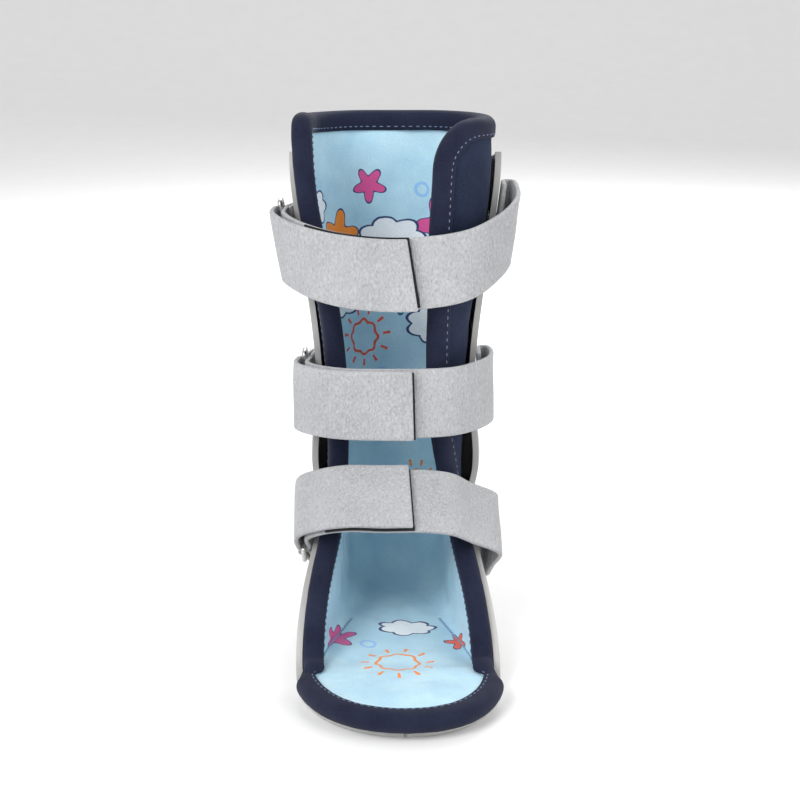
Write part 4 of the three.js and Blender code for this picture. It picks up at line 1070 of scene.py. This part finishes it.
# Rings
# Rounded rectangles of nickel-plated steel wire, one for each strap, bent and butt-welded. Each
# is held by a webbing tab on the -X side.
material, add, shader, where = graph("plated_wire")
scratch = mottled(add, drawn_out(add, where, (300, 2200, 2200)), 1.0, 3.0)
give(shader, {
    "Base Color": between(add, ranged(add, scratch, 0.3, 0.7), (0.5, 0.5, 0.49), (0.68, 0.68, 0.67)),
    "Roughness": ranged(add, scratch, 0.3, 0.7, 0.2, 0.36),
    "Metallic": 1.0,
})
bumped(add, shader, scratch, 0.08, 0.0002)
plated = material
for route in routes:
    across = route.sideways(-1, -route.ring_slope)
    middle = route.at(-route.bar, route.bar_ahead - (RING_WIDE - WIRE) / 2, route.ring_rise)
    backwards = -route.forward
    long, wide = (RING_LONG - WIRE) / 2, (RING_WIDE - WIRE) / 2
    loop_points = []
    for quarter, (l, b) in enumerate(((1, 1), (-1, 1), (-1, -1), (1, -1))):
        for turn in spread(0, QUARTER, 8):
            angle = quarter * QUARTER + turn
            loop_points.append(middle + across * (l * (long - RING_CORNER) + RING_CORNER * math.cos(angle))
                               + backwards * (b * (wide - RING_CORNER) + RING_CORNER * math.sin(angle)))
    normal = across.cross(backwards).normalized()
    count = len(loop_points)

    def on_wire(row, angle):
        p = loop_points[row % count]
        along = (loop_points[(row + 1) % count] - loop_points[(row - 1) % count]).normalized()
        side = along.cross(normal).normalized()
        return (p + (side * math.cos(angle) + normal * math.sin(angle)) * WIRE / 2) * MM

    ring = surface(f"{route.name}_ring_visual", list(range(count + 1)), spread(0, 2 * math.pi, 16), on_wire)
    edit(ring, (bpy.ops.mesh.remove_doubles, {"threshold": 0.00002}), OUTWARD)
    smooth_faces(ring, 80)
    paint(ring, plated)
    settle(ring, [f"{route.name}_ring"], "ring")

# Ring tabs and rivets
# A short loop of ribbed webbing holds each ring, with both its ends under one rivet through the
# shell. A second rivet holds the strap's own end on the other side.
TAB_WIDE, TAB_THICK, TAB_LONG, TAB_GAP, TAB_PLY_GAP = 26.0, 1.4, 15.0, 0.8, 0.3
RIVET_HEAD, RIVET_STEM, HEAD_THICK, RIVET_IN, RIVET_AT = 2.4, 1.5, 0.6, 1.3, 0.75
for route in routes:
    rear = route.bar_ahead - (RING_WIDE - WIRE)
    offset = WIRE / 2 + 0.5 + TAB_THICK / 2

    def lying(a):
        widest = []
        for w in (-TAB_WIDE / 2, 0, TAB_WIDE / 2):
            p = route.at(0, a, route.ring_rise + w)
            widest.append(side_at(p.y, p.z) - route.ring_slope * w)
        return max(widest) + TAB_GAP + TAB_THICK / 2

    line = []
    for share in spread(1, 0, 18):
        a = rear - TAB_LONG * share
        rise = (route.bar - offset - lying(rear)) * (1 - share) ** 2
        line.append((-max(lying(a) + rise, lying(a)), a, route.ring_rise))
    for turn in spread(0, math.pi, 16)[1:-1]:
        x, a = -(route.bar - offset * math.cos(turn)), rear + offset * math.sin(turn)
        line.append((x, a, route.ring_rise))
    for share in spread(0, 1, 18):
        a = rear - TAB_LONG * share
        rise = (route.bar + offset - lying(rear) - TAB_THICK - TAB_PLY_GAP) * (1 - share) ** 2
        line.append((-(lying(a) + TAB_THICK + TAB_PLY_GAP + rise), a, route.ring_rise))
    tab = band(f"{route.name}_tab_visual", route, line, TAB_WIDE, TAB_THICK,
               tilt=-route.ring_slope, columns=14)
    paint(tab, web_cloth)
    settle(tab, [f"{route.name}_ring_tab"], "webbing")

    # each rivet's place along and up, its side, and how far out the cloth under its head reaches
    through_tab = rear - TAB_LONG * RIVET_AT
    strap_face, tab_face = route.inner + STRAP_THICK / 2, lying(through_tab) + 2 * (TAB_THICK + TAB_PLY_GAP)
    for name, along, rise, side, far in (
        ("strap_rivet", -route.fold_back / 2, route.anchor_rise, 1, strap_face),
        ("tab_rivet", through_tab, route.ring_rise, -1, tab_face),
    ):
        spot = route.at(0, along, rise)
        wide = side_at(spot.y, spot.z)
        stack = far - wide
        slope_y = (side_at(spot.y + 1, spot.z) - side_at(spot.y - 1, spot.z)) / 2
        slope_z = (side_at(spot.y, spot.z + 1) - side_at(spot.y, spot.z - 1)) / 2
        normal = Vector((side, -slope_y, -slope_z)).normalized()
        low, high = -WALL - RIVET_IN, stack + 0.3 + HEAD_THICK
        bpy.ops.object.select_all(action="DESELECT")
        bpy.ops.mesh.primitive_cylinder_add(vertices=28, radius=RIVET_HEAD * MM, depth=(high - low) * MM)
        rivet = finished(f"{route.name}_{name}_visual")
        for vertex in rivet.data.vertices:
            vertex.co.z += (high + low) / 2 * MM
        for height, radius in (
            (low + HEAD_THICK - 0.05, RIVET_HEAD), (low + HEAD_THICK, RIVET_STEM),
            (stack + 0.25, RIVET_STEM), (stack + 0.3, RIVET_HEAD),
        ):
            edit(rivet, (bpy.ops.mesh.bisect, {"plane_co": (0, 0, height * MM), "plane_no": (0, 0, 1)}))
            for vertex in rivet.data.vertices:
                if abs(vertex.co.z - height * MM) < 1e-6:
                    vertex.co.xy = vertex.co.xy.normalized() * radius * MM
        soften(rivet, 0.35 * MM, 3, 60)
        turned = Vector((0, 0, 1)).rotation_difference(normal).to_matrix().to_4x4()
        rivet.data.transform(Matrix.Translation(Vector((side * wide, spot.y, spot.z)) * MM) @ turned)
        smooth_faces(rivet, 40)
        paint(rivet, plated)
        settle(rivet, [f"{route.name}_{name}"], "rivet")

# Studio
# A plain pale floor that curves away behind, soft light from both sides and above, and a camera at
# the photograph's angle.
bpy.ops.object.select_all(action="DESELECT")
bpy.ops.mesh.primitive_plane_add(size=6)
floor = finished("floor")
for edge in floor.data.edges:
    edge.select = all(floor.data.vertices[i].co.y > 2.9 for i in edge.vertices)
for vertex in floor.data.vertices:
    vertex.select = vertex.co.y > 2.9
floor.data.polygons[0].select = False
bpy.ops.object.mode_set(mode="EDIT")
bpy.context.tool_settings.mesh_select_mode = (False, True, False)
bpy.ops.mesh.extrude_region_move(TRANSFORM_OT_translate={"value": (0, 0, 3)})
bpy.ops.object.mode_set(mode="OBJECT")
modify(floor, "BEVEL", width=1.6, segments=24, limit_method="ANGLE")
smooth_faces(floor, 30)
material, add, shader, where = graph("floor_paper")
speck = mottled(add, where, 40.0, 2.0)
give(shader, {"Base Color": between(add, speck, (0.86, 0.86, 0.86), (0.9, 0.9, 0.9)), "Roughness": 0.9})
paint(floor, material)
world = bpy.data.worlds.new("studio")
bpy.context.scene.world = world
world.use_nodes = True
world.node_tree.nodes["Background"].inputs[0].default_value = (1, 1, 1, 1)
world.node_tree.nodes["Background"].inputs[1].default_value = 0.7
for name, spot, size, power in (("key", (-0.7, -0.9, 1.0), 0.7, 13), ("fill", (0.9, -0.6, 0.7), 0.9, 5),
                                ("back", (0.2, 1.0, 0.9), 1.0, 10)):
    bpy.ops.object.light_add(type="AREA", location=spot)
    light = bpy.context.object
    light.name = name
    light.data.size = size
    light.data.energy = power
    light.rotation_euler = (Vector((0, -0.03, 0.1)) - Vector(spot)).to_track_quat("-Z", "Y").to_euler()
CAMERA_AT, LOOKS_AT, FIELD_OF_VIEW = (0.002, -0.655, 0.292), (0.002, -0.036, 0.112), 29
bpy.ops.object.camera_add(location=CAMERA_AT)
camera = bpy.context.object
camera.rotation_euler = (Vector(LOOKS_AT) - Vector(CAMERA_AT)).to_track_quat("-Z", "Y").to_euler()
camera.data.angle = math.radians(FIELD_OF_VIEW)
bpy.context.scene.camera = camera
bpy.context.scene.view_settings.view_transform = "Standard"
